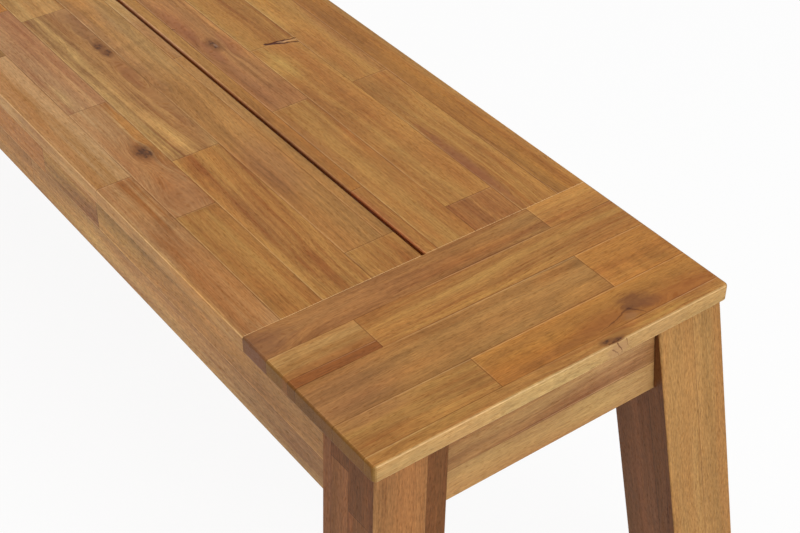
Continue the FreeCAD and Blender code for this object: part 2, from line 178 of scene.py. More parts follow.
def newMaterial(name):
    material = bpy.data.materials.new(name)
    material.use_nodes = True
    return material, material.node_tree, material.node_tree.nodes["Principled BSDF"]


# The last nodes of every finish
def finishSurface(tree, surface, colour, rough, height, strength, distance):
    bump = addNode(tree, "ShaderNodeBump",
                   {"Height": height, "Strength": strength, "Distance": mm(distance)})
    fill(tree, surface, {"Base Color": colour, "Roughness": rough, "Normal": bump.outputs[0]})


# Camera, lights and floor
studio = {
    "cameraAt": (1465.8, -637.7, 1277.1),
    "cameraAim": (626.3, -25.3, 450),
    "lens": 73.58,
    "sensor": 36,
    "lampAim": (200, 0, 300),
    "skyLight": 0.58,
    "backdrop": (255, 255, 255),
    "floorWide": 60000,
    "floorShadow": 0.12,
}

softboxes = {
    "right": {"at": (3600, 300, 1500), "wide": 2600, "high": 1800, "power": 47},
    "left": {"at": (300, -3800, 1500), "wide": 3400, "high": 1800, "power": 35},
    "above": {"at": (0, 0, 4200), "wide": 3600, "high": 2600, "power": 30},
}


def aimFrom(thing, at, aim):
    thing.location = mm(*at)
    thing.rotation_euler = (mm(*aim) - thing.location).to_track_quat("-Z", "Y").to_euler()


def makeCamera():
    camera = addObject("camera", bpy.data.cameras.new("camera"))
    camera.data.lens = studio["lens"]
    camera.data.sensor_width = studio["sensor"]
    aimFrom(camera, studio["cameraAt"], studio["cameraAim"])
    bpy.context.scene.camera = camera


def makeSoftbox(name, values):
    lamp = bpy.data.lights.new(name, "AREA")
    lamp.shape = "RECTANGLE"
    lamp.size = mm(values["wide"])
    lamp.size_y = mm(values["high"])
    lamp.energy = values["power"]
    aimFrom(addObject(name, lamp), values["at"], studio["lampAim"])


# 1 for what the camera, a reflection or clear glass shows, 0 for the light on the object
def seenDirectly(tree):
    path = addNode(tree, "ShaderNodeLightPath").outputs
    seen = calc(tree, "ADD", path["Is Camera Ray"], path["Is Glossy Ray"])
    return calc(tree, "ADD", seen, path["Is Transmission Ray"], clamp=True)


def makeSky():
    world = bpy.data.worlds.new("studio")
    bpy.context.scene.world = world
    world.use_nodes = True
    tree = world.node_tree
    fill(tree, tree.nodes["Background"], {
        "Color": paint(studio["backdrop"]),
        "Strength": remap(tree, seenDirectly(tree), 0, 1, studio["skyLight"], 1),
    })


def makeFloor():
    bm = bmesh.new()
    bmesh.ops.create_grid(bm, x_segments=1, y_segments=1, size=mm(studio["floorWide"]) / 2)
    floor = addObject("floor", bpy.data.meshes.new("floor"))
    bm.to_mesh(floor.data)
    bm.free()
    material, tree, surface = newMaterial("paleFloor")
    pale = paint(studio["backdrop"])
    fill(tree, surface, {"Base Color": pale, "Roughness": 0.9, "Specular IOR Level": 0})
    glow = addNode(tree, "ShaderNodeEmission", {"Color": pale})
    share = times(tree, seenDirectly(tree), 1 - studio["floorShadow"])
    mixed = numbered(share, surface.outputs[0], glow.outputs[0])
    mixed = addNode(tree, "ShaderNodeMixShader", mixed)
    fill(tree, tree.nodes["Material Output"], {"Surface": mixed.outputs[0]})
    floor.data.materials.append(material)


bpy.context.scene.view_settings.view_transform = "Standard"
makeCamera()
makeSky()
makeFloor()
for name, values in softboxes.items():
    makeSoftbox(name, values)
print("camera, lights and floor")


# Tones of the wood, named as a joiner would
woodTones = {
    "straw": (192, 147, 86), "dust": (184, 141, 92), "golden": (182, 132, 68),
    "wheat": (178, 127, 68), "orange": (182, 124, 58), "tan": (158, 109, 56),
    "clay": (152, 103, 66), "sand": (180, 136, 80), "bark": (148, 99, 56), "rose": (176, 123, 71),
    "fawn": (172, 128, 71), "drab": (153, 110, 58), "parchment": (188, 150, 93),
    "hay": (166, 126, 75), "amber": (154, 99, 46), "olive": (142, 99, 52), "russet": (146, 90, 44),
    "chestnut": (128, 79, 42), "plum": (126, 78, 43), "walnut": (108, 67, 34),
    "umber": (92, 55, 27), "ember": (160, 86, 30), "brick": (132, 68, 24),
}

# What the staves take from them: a light and a dark tone, how strongly they streak, how strong
# a painted sheen shimmers in bands across the grain and how many millimetres the grain runs out in
# a hundred
staveLooks = {
    "golden": ("golden", "russet", 0.5, 0.5, 1.0),
    "goldenStreaked": ("golden", "russet", 0.9, 0.4, 2.0),
    "straw": ("straw", "tan", 0.6, 0.3, 0.8), "dusty": ("dust", "clay", 0.7, 0.3, 1.0),
    "quiet": ("dust", "clay", 0.3, 0.1, 0.6), "tawny": ("rose", "bark", 0.4, 0.7, 0.6),
    "dustyRed": ("dust", "russet", 0.6, 0.5, 1.4), "tan": ("wheat", "amber", 0.5, 0.3, 1.2),
    "orange": ("orange", "amber", 0.6, 0.8, 1.2), "reddish": ("golden", "chestnut", 0.7, 0.3, 1.8),
    "olive": ("wheat", "olive", 0.7, 0.5, 1.0), "plumStreaked": ("straw", "plum", 0.7, 0.4, 1.5),
    "dusk": ("sand", "plum", 0.32, 0.3, 1.8), "brown": ("wheat", "chestnut", 0.5, 0.3, 1.0),
    "calm": ("fawn", "drab", 0.5, 0.1, 0.6), "sandy": ("sand", "bark", 0.7, 0.3, 1.0),
    "rouge": ("rose", "plum", 0.8, 0.3, 1.4), "copper": ("orange", "chestnut", 0.7, 0.3, 1.2),
    "hazel": ("dust", "tan", 0.7, 0.3, 1.0), "parched": ("parchment", "hay", 0.8, 0.1, 0.8),
    "red": ("russet", "chestnut", 0.6, 0.2, 0.6), "plum": ("plum", "walnut", 1.0, 0.2, 0.8),
    "dark": ("walnut", "umber", 1.0, 0.1, 0.8), "gapRed": ("ember", "brick", 0.5, 0.1, 0.6),
}

# How often each look comes up where no stave is listed
commonLooks = {
    "golden": 5, "goldenStreaked": 3, "straw": 1, "tan": 4, "orange": 3, "reddish": 3,
    "olive": 3, "plumStreaked": 2, "brown": 1,
}

lamination = {
    "shortest": 130,
    "longest": 320,
    "glueLine": 0.52,
    "faint": (14, 40, 40),
    # where the painted glints by the seams show
    "paintedGlint": (6, 30, 30),
}

# How often each figure changes per metre along and across the grain, how fine and how rough it is
figures = {
    "band": (1.6, 48, 2, 0.5),
    "streak": (3, 190, 2, 0.5),
    "line": (7, 420, 3, 0.62),
    "fibre": (70, 1500, 1, 0.5),
    "speck": (230, 620, 1, 0.5),
    "warmth": (3, 42, 1, 0.5),
    "sheenBands": (75, 14, 2, 0.5),
    "pore": (190, 1200, 0, 0.5),
    "waver": (2, 34, 1, 0.5),
}

# How much each figure tells in the wood's tone, its warmth, its brightness and its relief
# glint and arris: how strong the painted highlights by the seams and on rounded edges are
weights = {
    "band": 3.6, "streak": 1.5, "line": 1.05, "cloud": 1.3, "ringTone": 0.28, "ringEdge": 0.35,
    "ringWarmth": 0.12, "fibre": 0.7, "pore": 0.42, "endTone": 0.5, "glint": 0.26, "arris": 0.3,
    "poreDepth": -1, "fibreDepth": 0.5, "lineDepth": 0.4, "glueDepth": -0.5,
}

grain = {
    "ring": 4.6,
    "ringWaver": 5,
    "sway": 17,
    "swaying": (4.5, 12, 12),
    "cloudy": (9, 26, 26),
    "warm": (1.05, 0.985, 1.01),
    "cool": (1.005, 1.05, 1.15),
    "endGrain": (0.38, 0.3, 0.15),
    "endTone": (113, 78, 30),
    "glue": (0.42, 0.33, 0.26),
    "pore": (0.62, 0.5, 0.38),
    # the pale tone of rounded edges and seam glints: wear, and a painted highlight
    "wornAndLit": (234, 194, 142),
}


# The wood's grain as one node group, on the stave's own coordinates with X along the grain.
# Growth rings run round the tree's heart, outside the stave, and everything sways with them.
def makeGrainGroup():
    tree, given, made = newGroup(
        "hardwoodGrain",
        {"Vector": "Spot Shift Heart Push", "Color": "Light Dark",
         "Float": "Streak Curl Runout Speck End Arris Seam Glint"},
        {"Color": "Color", "Float": "Roughness Height"},
    )
    pushed = vectorCalc(tree, "ADD", given["Spot"], given["Push"])
    lean = times(tree, split(tree, pushed)["X"], given["Runout"])
    own = vectorCalc(tree, "ADD", pushed, combine(tree, 0, lean, lean))
    varied = vectorCalc(tree, "ADD", own, given["Shift"])
    reach = mm(grain["sway"])
    sway = wander(tree, varied, grain["swaying"], (0, reach, reach), detail=3, rough=0.45)
    bent = vectorCalc(tree, "ADD", varied, sway)
    figure = {name: noise(tree, bent, (along, across, across), detail, rough)
              for name, (along, across, detail, rough) in figures.items()}
    cloud = noise(tree, varied, grain["cloudy"])
    pore = remap(tree, figure["pore"], 0.6, 0.74, smooth=True)

    # each ring takes a tone, an edge and a warmth of its own
    fromHeart = vectorCalc(tree, "SUBTRACT", vectorCalc(tree, "ADD", own, sway), given["Heart"])
    fromHeart = vectorCalc(tree, "LENGTH", vectorCalc(tree, "MULTIPLY", fromHeart, (0, 1, 1)))
    rings = calc(tree, "DIVIDE", fromHeart, mm(grain["ring"]))
    rings = around(tree, figure["waver"], grain["ringWaver"], rings)
    seed = times(tree, split(tree, given["Shift"])["X"], 37)
    seed = calc(tree, "ADD", calc(tree, "FLOOR", rings), seed)
    drawn = addNode(tree, "ShaderNodeTexWhiteNoise", {"W": seed}, noise_dimensions="1D")
    drawn = addNode(tree, "ShaderNodeSeparateColor", {0: drawn.outputs["Color"]}).outputs
    edge = remap(tree, calc(tree, "FRACT", rings), 0.4, 1, smooth=True)
    edge = times(tree, edge, drawn["Green"])

    # how far the wood lies between its light and its dark tone
    share = 0.4
    for name, value in (("band", figure["band"]), ("streak", figure["streak"]),
                        ("ringTone", drawn["Red"])):
        share = around(tree, value, times(tree, given["Streak"], weights[name]), share)
    share = addTimes(tree, edge, times(tree, given["Streak"], weights["ringEdge"]), share)
    share = around(tree, figure["line"], weights["line"], share)
    share = around(tree, cloud, weights["cloud"], share)
    share = calc(tree, "MAXIMUM", calc(tree, "MINIMUM", share, 1.15), -0.1)
    colour = blend(tree, share, given["Light"], given["Dark"])
    warmth = around(tree, drawn["Blue"], weights["ringWarmth"], figure["warmth"])
    tint = blend(tree, remap(tree, warmth, 0.36, 0.64), (*grain["cool"], 1), (*grain["warm"], 1))
    colour = blend(tree, 1, colour, tint, mode="MULTIPLY")

    # pores, rounded edges paled by wear and a painted highlight, painted glints by the seams, end
    # grain and glue
    colour = tinted(tree, times(tree, pore, weights["pore"]), colour, grain["pore"])
    wornAndLit = times(tree, given["Arris"], weights["arris"])
    wornAndLit = addTimes(tree, given["Glint"], weights["glint"], wornAndLit, clamp=True)
    colour = blend(tree, wornAndLit, colour, paint(grain["wornAndLit"]))
    colour = tinted(tree, given["End"], colour, grain["endGrain"])
    endTone = times(tree, given["End"], weights["endTone"])
    colour = blend(tree, endTone, colour, paint(grain["endTone"]))
    colour = tinted(tree, given["Seam"], colour, grain["glue"])

    # a painted sheen: brightness shimmering in bands across the grain, where the figure would
    # catch the light
    sheenShown = times(tree, remap(tree, cloud, 0.45, 0.62, smooth=True), given["Curl"])
    bright = around(tree, figure["fibre"], weights["fibre"], 1.01)
    bright = around(tree, figure["sheenBands"], sheenShown, bright)
    bright = around(tree, figure["speck"], given["Speck"], bright)
    height = times(tree, figure["fibre"], weights["fibreDepth"])
    for name, value in (("poreDepth", pore), ("lineDepth", figure["line"]),
                        ("glueDepth", given["Seam"])):
        height = addTimes(tree, value, weights[name], height)
    fill(tree, made, {
        "Color": scaleVector(tree, colour, bright),
        "Roughness": addTimes(tree, pore, 0.15, around(tree, figure["line"], 0.25, 0.46)),
        "Height": height,
    })
    return tree


# How near a point is to a glued face of its stave: a thin dark line along the glue and, here
# and there, a painted highlight, a pale line where a stave's edge would catch the light
def makeSeamGroup():
    tree, given, made = newGroup("glueSeam", {"Vector": "Spot Low High", "Float": "Wide"},
                                 {"Float": "Mask Glint"})
    fromLow = split(tree, vectorCalc(tree, "SUBTRACT", given["Spot"], given["Low"]))
    fromHigh = split(tree, vectorCalc(tree, "SUBTRACT", given["High"], given["Spot"]))
    butt, side, layer = (calc(tree, "MINIMUM", fromLow[axis], fromHigh[axis]) for axis in "XYZ")
    side = calc(tree, "MINIMUM", side, layer)
    butt, side = (remap(tree, calc(tree, "DIVIDE", away, given["Wide"]), 0, 1, 1, 0)
                  for away in (butt, side))
    faint = noise(tree, given["Spot"], lamination["faint"], detail=1)
    side = times(tree, side, remap(tree, faint, 0.32, 0.58, 0.45, 1))
    pale = 0
    for axis, strength in (("X", 0.5), ("Y", 1)):
        away = calc(tree, "SUBTRACT", calc(tree, "DIVIDE", fromLow[axis], given["Wide"]), 2)
        line = remap(tree, calc(tree, "ABSOLUTE", away), 0, 1.4, strength, 0)
        pale = calc(tree, "MAXIMUM", pale, line)
    paintedGlint = noise(tree, given["Spot"], lamination["paintedGlint"], detail=1)
    fill(tree, made, {
        "Mask": calc(tree, "MAXIMUM", butt, side),
        "Glint": times(tree, pale, remap(tree, paintedGlint, 0.38, 0.52)),
    })
    return tree


# What all drifts, knots and cracks share: how ragged they are, and how far they reach in units
# of their own size
flawShapes = {
    "driftRagged": (12, 60, 60),
    "driftEdge": (0.3, 1.25),
    "knotRagged": (110, 260, 260),
    "knotMottled": (170, 260, 260),
    "knotCore": (0.65, 1.05),
    "knotHalo": (0.7, 2.5),
    "knotAside": (0.4, 3.6),
    "knotSwirls": 15,
    "crackRagged": (110, 110, 110),
    "crackWave": 4,
    "crackTip": 0.35,
}


# 1 on the stave that holds a centre, 0 on the others
def heldBy(tree, given):
    low, high, centre = (split(tree, given[name]) for name in ("Low", "High", "Centre"))
    inside = 1
    for axis in ("X", "Y"):
        inside = times(tree, inside, calc(tree, "GREATER_THAN", centre[axis], low[axis]))
        inside = times(tree, inside, calc(tree, "LESS_THAN", centre[axis], high[axis]))
    return inside


# A soft patch in one stave that turns it lighter or darker: mostly the wood's own tone, in a few
# places painted shade or painted light
def makeDriftGroup():
    tree, given, made = newGroup(
        "toneDrift", {"Vector": "Spot Centre Low High", "Float": "Long Wide Uneven"},
        {"Float": "Mask"})
    reach = combine(tree, given["Long"], given["Wide"], 1000)
    away = vectorCalc(tree, "SUBTRACT", given["Spot"], given["Centre"])
    away = vectorCalc(tree, "LENGTH", vectorCalc(tree, "DIVIDE", away, reach))
    away = calc(tree, "ADD", away, given["Uneven"])
    mask = remap(tree, away, *flawShapes["driftEdge"], 1, 0, smooth=True)
    fill(tree, made, {"Mask": times(tree, mask, heldBy(tree, given))})
    return tree


# A knot, or any spot that the grain flows round: how far it pushes the grain aside, its core
# and the darker wood about it. It stays within the stave that holds its centre.
def makeKnotGroup():
    tree, given, made = newGroup(
        "knot", {"Vector": "Spot Centre Low High", "Float": "Long Wide"},
        {"Vector": "Push", "Float": "Core Halo"})
    away = split(tree, vectorCalc(tree, "SUBTRACT", given["Spot"], given["Centre"]))
    smoothRadius = vectorCalc(tree, "LENGTH", combine(
        tree, calc(tree, "DIVIDE", away["X"], given["Long"]),
        calc(tree, "DIVIDE", away["Y"], given["Wide"])))
    ragged = wander(tree, given["Spot"], flawShapes["knotRagged"], (2, 2, 2), detail=3, rough=0.6)
    radius = calc(tree, "ADD", split(tree, ragged)["X"], smoothRadius)
    inside = heldBy(tree, given)

    def fading(distance, name):
        shown = remap(tree, distance, *flawShapes[name], 1, 0, smooth=True)
        return times(tree, shown, inside)

    aside = times(tree, times(tree, away["Y"], -0.8), fading(smoothRadius, "knotAside"))
    swirl = calc(tree, "SINE", times(tree, radius, flawShapes["knotSwirls"]))
    fill(tree, made, {
        "Push": combine(tree, 0, aside),
        "Core": fading(radius, "knotCore"),
        "Halo": times(tree, fading(radius, "knotHalo"), addTimes(tree, swirl, 0.06, 0.94)),
    })
    return tree


# A crack that tapers from its start to its end, seen from above
def makeCrackGroup():
    tree, given, made = newGroup("crack", {"Vector": "Spot Start End", "Float": "Wide"},
                                 {"Float": "Mask"})
    reach = mm(flawShapes["crackWave"])
    wave = wander(tree, given["Spot"], flawShapes["crackRagged"], (reach, reach, 0))
    run = vectorCalc(tree, "SUBTRACT", given["End"], given["Start"])
    away = vectorCalc(tree, "ADD", given["Spot"], wave)
    away = vectorCalc(tree, "SUBTRACT", away, given["Start"])
    away = vectorCalc(tree, "MULTIPLY", away, (1, 1, 0))
    part = calc(tree, "DIVIDE", vectorCalc(tree, "DOT_PRODUCT", away, run),
                vectorCalc(tree, "DOT_PRODUCT", run, run), clamp=True)
    gap = vectorCalc(tree, "SUBTRACT", away, scaleVector(tree, run, part))
    wide = times(tree, given["Wide"], remap(tree, part, 0, 1, 1, flawShapes["crackTip"]))
    gap = calc(tree, "DIVIDE", vectorCalc(tree, "LENGTH", gap), wide)
    fill(tree, made, {"Mask": remap(tree, gap, 0.35, 1, 1, 0, smooth=True)})
    return tree


grainGroup = makeGrainGroup()
seamGroup = makeSeamGroup()
driftGroup = makeDriftGroup()
knotGroup = makeKnotGroup()
crackGroup = makeCrackGroup()

sheen = {
    "Specular IOR Level": 0.1,
    "Specular Tint": (1, 0.88, 0.72, 1),
}

boardThick = 16  # as in the part's source, for the height of a board's faces
flawColours = {
    "knot": (70, 44, 32),
    "knotRim": (120, 76, 44),
    "crack": (76, 32, 14),
    "split": (92, 50, 26),
    "sliver": (214, 172, 128),
}


# What a board has of its own, and a few drifts of painted shade or painted light, in millimetres
# from its middle with X along the grain. A flaw that goes over carries on over the long edge and
# down it.
def drift(x, y, long, wide, tint, over=False):
    return {"at": (x, y), "long": long, "wide": wide, "tint": tint, "over": over}


def bruise(x, y, long, wide, depth, colour, over=False):
    return {"kind": "bruise", "at": (x, y), "long": long, "wide": wide, "depth": depth,
            "colour": colour, "over": over}


def knot(x, y, long, wide, depth, over=False):
    return {**bruise(x, y, long, wide, depth, flawColours["knotRim"], over), "kind": "knot"}


def crack(start, end, wide, depth, tone, over=False):
    return {"kind": "crack", "start": start, "end": end, "wide": wide, "depth": depth,
            "tone": tone, "over": over}


# Oiled wood with a board's own drifts of tone and flaws
def makeHardwood(name, values, paintedGlint=1, speck=0.35):
    flaws, drifts = values.get("flaws", ()), values.get("drifts", ())
    material, tree, surface = newMaterial(name)
    spot, low, high, figure, face = (
        readAttribute(tree, attribute)
        for attribute in ("grainSpot", "staveLow", "staveHigh", "staveFigure", "faceKind"))
    figure, face = split(tree, figure), split(tree, face)
    seam = useGroup(tree, seamGroup, {"Spot": spot, "Low": low, "High": high,
                                      "Wide": mm(lamination["glueLine"])})
    # flaws stay out of the underside, and the top runs on into the edge as if both lay flat
    level = split(tree, spot)["Z"]
    upper = remap(tree, level, mm(0.3 - boardThick / 2), mm(1.5 - boardThick / 2))
    down = calc(tree, "SUBTRACT", mm(boardThick / 2), level)
    unrolled = vectorCalc(tree, "ADD", spot, combine(tree, 0, down))

    def patch(group, mark, **more):
        return useGroup(tree, group, {
            "Spot": unrolled if mark["over"] else spot, "Low": low, "High": high,
            "Centre": mm(*mark["at"], 0), "Long": mm(mark["long"]), "Wide": mm(mark["wide"]),
            **more,
        })

    given = {
        "Spot": spot,
        "Shift": readAttribute(tree, "staveShift"),
        "Heart": readAttribute(tree, "staveHeart"),
        "Light": readAttribute(tree, "staveLight", "Color"),
        "Dark": readAttribute(tree, "staveDark", "Color"),
        "Streak": figure["X"],
        "Curl": figure["Y"],
        "Runout": figure["Z"],
        "Speck": speck,
        "Arris": face["X"],
        "End": face["Y"],
        "Seam": seam["Mask"],
        "Glint": times(tree, seam["Glint"], paintedGlint),
    }
    knots = {}
    for index, flaw in enumerate(flaws):
        if flaw["kind"] != "crack":
            knots[index] = patch(knotGroup, flaw)
            push = knots[index]["Push"]
            if "Push" in given:
                push = vectorCalc(tree, "ADD", given["Push"], push)
            given["Push"] = push
    figured = useGroup(tree, grainGroup, given)
    colour, height = figured["Color"], figured["Height"]
    uneven = noise(tree, spot, flawShapes["driftRagged"])
    uneven = times(tree, calc(tree, "SUBTRACT", uneven, 0.5), 0.8)
    for mark in drifts:
        mask = patch(driftGroup, mark, Uneven=uneven)["Mask"]
        colour = tinted(tree, mask, colour, mark["tint"])
    for index, flaw in enumerate(flaws):
        strength = times(tree, upper, flaw["depth"])
        if flaw["kind"] == "crack":
            mask = useGroup(tree, crackGroup, {
                "Spot": unrolled if flaw["over"] else spot, "Start": mm(*flaw["start"], 0),
                "End": mm(*flaw["end"], 0), "Wide": mm(flaw["wide"]),
            })["Mask"]
            shown = times(tree, mask, strength)
            colour = blend(tree, shown, colour, paint(flawColours[flaw["tone"]]))
            if flaw["tone"] == "crack":
                height = addTimes(tree, shown, -1.5, height)
            continue
        halo = times(tree, knots[index]["Halo"], strength)
        colour = blend(tree, halo, colour, paint(flaw["colour"]))
        if flaw["kind"] == "knot":
            core = times(tree, knots[index]["Core"], strength)
            spread = remap(tree, noise(tree, spot, flawShapes["knotMottled"]), 0.42, 0.6)
            inner = blend(tree, spread, paint(flawColours["knot"]), paint(flawColours["knotRim"]))
            colour = blend(tree, core, colour, inner)
    finishSurface(tree, surface, colour, figured["Roughness"], height, 0.35, 0.25)
    fill(tree, surface, sheen)
    return material


# Blocks of wood, modelled about their own middle with the grain along X, rounded, laid out in
# staves and then placed on the bench
def startBlock(long, wide, thick):
    bm = bmesh.new()
    bmesh.ops.create_cube(bm, size=1)
    bmesh.ops.scale(bm, vec=mm(long, wide, thick), verts=bm.verts)
    return bm


def roundEdges(bm, radius, segments, test):
    picked = [edge for edge in bm.edges if test(*(vert.co * 1000 for vert in edge.verts))]
    bmesh.ops.bevel(bm, geom=picked, offset=mm(radius), segments=segments, affect="EDGES",
                    offset_type="OFFSET", profile=0.5, material=-1, clamp_overlap=True)


def both(a, b, axis, level):
    return abs(a[axis] - level) < 0.05 and abs(b[axis] - level) < 0.05


def facesWithin(bm, low, high):
    inside = []
    for face in bm.faces:
        point = face.calc_center_median() - face.normal * mm(0.2)
        if all(low[axis] < point[axis] < high[axis] for axis in range(3)):
            inside.append(face)
    return inside


def withLevel(corner, axis, level):
    moved = corner.copy()
    moved[axis] = level
    return moved


def sliceAt(bm, low, high, axis, level):
    faces = facesWithin(bm, low, high)
    parts = set(faces)
    for face in faces:
        parts.update(face.edges, face.verts)
    normal = withLevel(Vector(), axis, 1)
    bmesh.ops.bisect_plane(bm, geom=list(parts), dist=mm(0.001), plane_co=normal * level,
                           plane_no=normal)


# Cuts a block across one axis into parts of the given sizes, the last one taking the rest
def cutInto(bm, low, high, axis, parts, size):
    edge = low[axis]
    for part in parts:
        top = high[axis] if part is parts[-1] else edge + mm(part[size])
        if top < high[axis]:
            sliceAt(bm, low, high, axis, top)
        yield part, withLevel(low, axis, edge), withLevel(high, axis, top)
        edge = top


def addStave(bm, rng, low, high, stop, look, edge, staves):
    if stop > low.x + mm(1):
        sliceAt(bm, low, high, 0, stop)
    staves.append({
        "low": withLevel(low, 0, stop),
        "high": high,
        "look": look,
        "edge": edge,
        "shift": Vector([rng.uniform(-4, 4) for _ in range(3)]),
        "runout": rng.choice((-1, 1)) * rng.uniform(0.5, 1.6),
        "heart": (rng.uniform(0, math.tau), mm(rng.uniform(25, 110))),
        "shade": rng.uniform(0.96, 1.04),
    })


# One row of staves, laid from its high-X end: first the listed ones, then either narrower
# strips that share the rest or staves of random length
def layRow(bm, rng, low, high, row, staves):
    edge = row.get("edge")
    rest = high
    for long, look, shade in row.get("staves", ()):
        stop = max(rest.x - mm(long), low.x)
        addStave(bm, rng, low, rest, stop, look, edge, staves)
        staves[-1]["shade"] = shade
        rest = withLevel(high, 0, stop)
    if rest.x - low.x < mm(1):
        return
    if "strips" in row:
        for strip, stripLow, stripHigh in cutInto(bm, low, rest, 1, row["strips"], "wide"):
            layRow(bm, rng, stripLow, stripHigh, strip, staves)
        return
    looks, chances = list(commonLooks), list(commonLooks.values())
    while rest.x - low.x > mm(lamination["longest"]):
        long = rng.uniform(mm(lamination["shortest"]), mm(lamination["longest"]))
        long = min(long, rest.x - low.x - mm(lamination["shortest"]))
        look = rng.choices(looks, chances)[0]
        addStave(bm, rng, low, rest, rest.x - long, look, edge, staves)
        rest = withLevel(high, 0, rest.x - long)
    addStave(bm, rng, low, rest, low.x, rng.choices(looks, chances)[0], edge, staves)


def layStaves(bm, values, wearAndLight):
    rng = random.Random(values["seed"])
    staves = []
    low = Vector([min(vert.co[axis] for vert in bm.verts) for axis in range(3)])
    high = Vector([max(vert.co[axis] for vert in bm.verts) for axis in range(3)])
    layers = values.get("layers", [values])
    for layer, layerLow, layerHigh in cutInto(bm, low, high, 2, layers, "thick"):
        for row, rowLow, rowHigh in cutInto(bm, layerLow, layerHigh, 1, layer["rows"], "wide"):
            layRow(bm, rng, rowLow, rowHigh, row, staves)
    markStaves(bm, staves, low, high, wearAndLight)


# How much paler a rounded edge is than the faces beside it, partly wear and partly a painted
# highlight where the edge would catch the light, or below 0 how much of its dark end grain it
# shows
def edgeWearAndHighlight(face):
    level = abs(face.normal.z)
    if level < 0.4:
        return 0.4
    return 1.5 if level < 0.8 else 0.1


# Writes each stave's corners, heart and look onto its faces, for the material to read
def markStaves(bm, staves, low, high, wearAndLight):
    spot = bm.verts.layers.float_vector.new("grainSpot")
    for vert in bm.verts:
        vert[spot] = vert.co
    vectors = {name: bm.faces.layers.float_vector.new(name)
               for name in ("staveLow", "staveHigh", "staveShift", "staveHeart",
                            "staveFigure", "faceKind")}
    tones = [bm.faces.layers.float_color.new(name) for name in ("staveLight", "staveDark")]
    outside = mm(50)  # a face of the whole piece isn't a glue line, so the stave reaches past it
    for stave in staves:
        look = staveLooks[stave["look"]]
        edgeLook = staveLooks[stave["edge"] or stave["look"]]
        streak, sheenStrength, runout = look[2:]
        turn, away = stave["heart"]
        middle = (stave["low"] + stave["high"]) / 2
        values = {
            "staveLow": Vector([value - outside if value - low[axis] < mm(0.01) else value
                                for axis, value in enumerate(stave["low"])]),
            "staveHigh": Vector([value + outside if high[axis] - value < mm(0.01) else value
                                 for axis, value in enumerate(stave["high"])]),
            "staveShift": stave["shift"],
            "staveHeart": middle + Vector((0, math.cos(turn), math.sin(turn))) * away,
            "staveFigure": Vector((streak, sheenStrength, stave["runout"] * runout / 100)),
        }
        for face in facesWithin(bm, stave["low"], stave["high"]):
            shown = edgeLook if abs(face.normal.y) > 0.4 else look
            for layer, tone in zip(tones, shown):
                face[layer] = Vector(paint(woodTones[tone])) * stave["shade"]
            rounded = max(abs(value) for value in face.normal) < 0.999
            wornAndLit = wearAndLight(face) if rounded else -float(abs(face.normal.x) > 0.9)
            values["faceKind"] = Vector((max(wornAndLit, 0), max(-wornAndLit, 0), 0))
            for name, value in values.items():
                face[vectors[name]] = value
            face.smooth = rounded


# A finished piece, in place of the CAD's
def finishPiece(bm, name, node, materials):
    piece = addObject(name, bpy.data.meshes.new(name))
    bm.to_mesh(piece.data)
    bm.free()
    for material in materials:
        piece.data.materials.append(material)
    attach(piece, "root")
    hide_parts(node)
    return piece


def placeBlock(bm, name, node, values, material, turn, wearAndLight=edgeWearAndHighlight):
    layStaves(bm, values, wearAndLight)
    bmesh.ops.transform(bm, matrix=turn, verts=bm.verts)
    bmesh.ops.recalc_face_normals(bm, faces=bm.faces)
    finishPiece(bm, name, node, [material])


def nodeBox(node):
    low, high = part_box(node)
    return (low + high) / 2, (high - low) * 1000


# The turn that puts a block's X, Y and Z along three of the bench's axes
def axes(x, y, z, middle):
    return Matrix.Translation(middle) @ Matrix((x, y, z)).transposed().to_4x4()


alongX, alongY, alongZ = Vector((1, 0, 0)), Vector((0, 1, 0)), Vector((0, 0, 1))
ends = (("near", 1), ("far", -1))
sides = (("left", -1), ("right", 1))
hardwood = makeHardwood("oiledHardwood", {}, paintedGlint=0.2, speck=0.7)

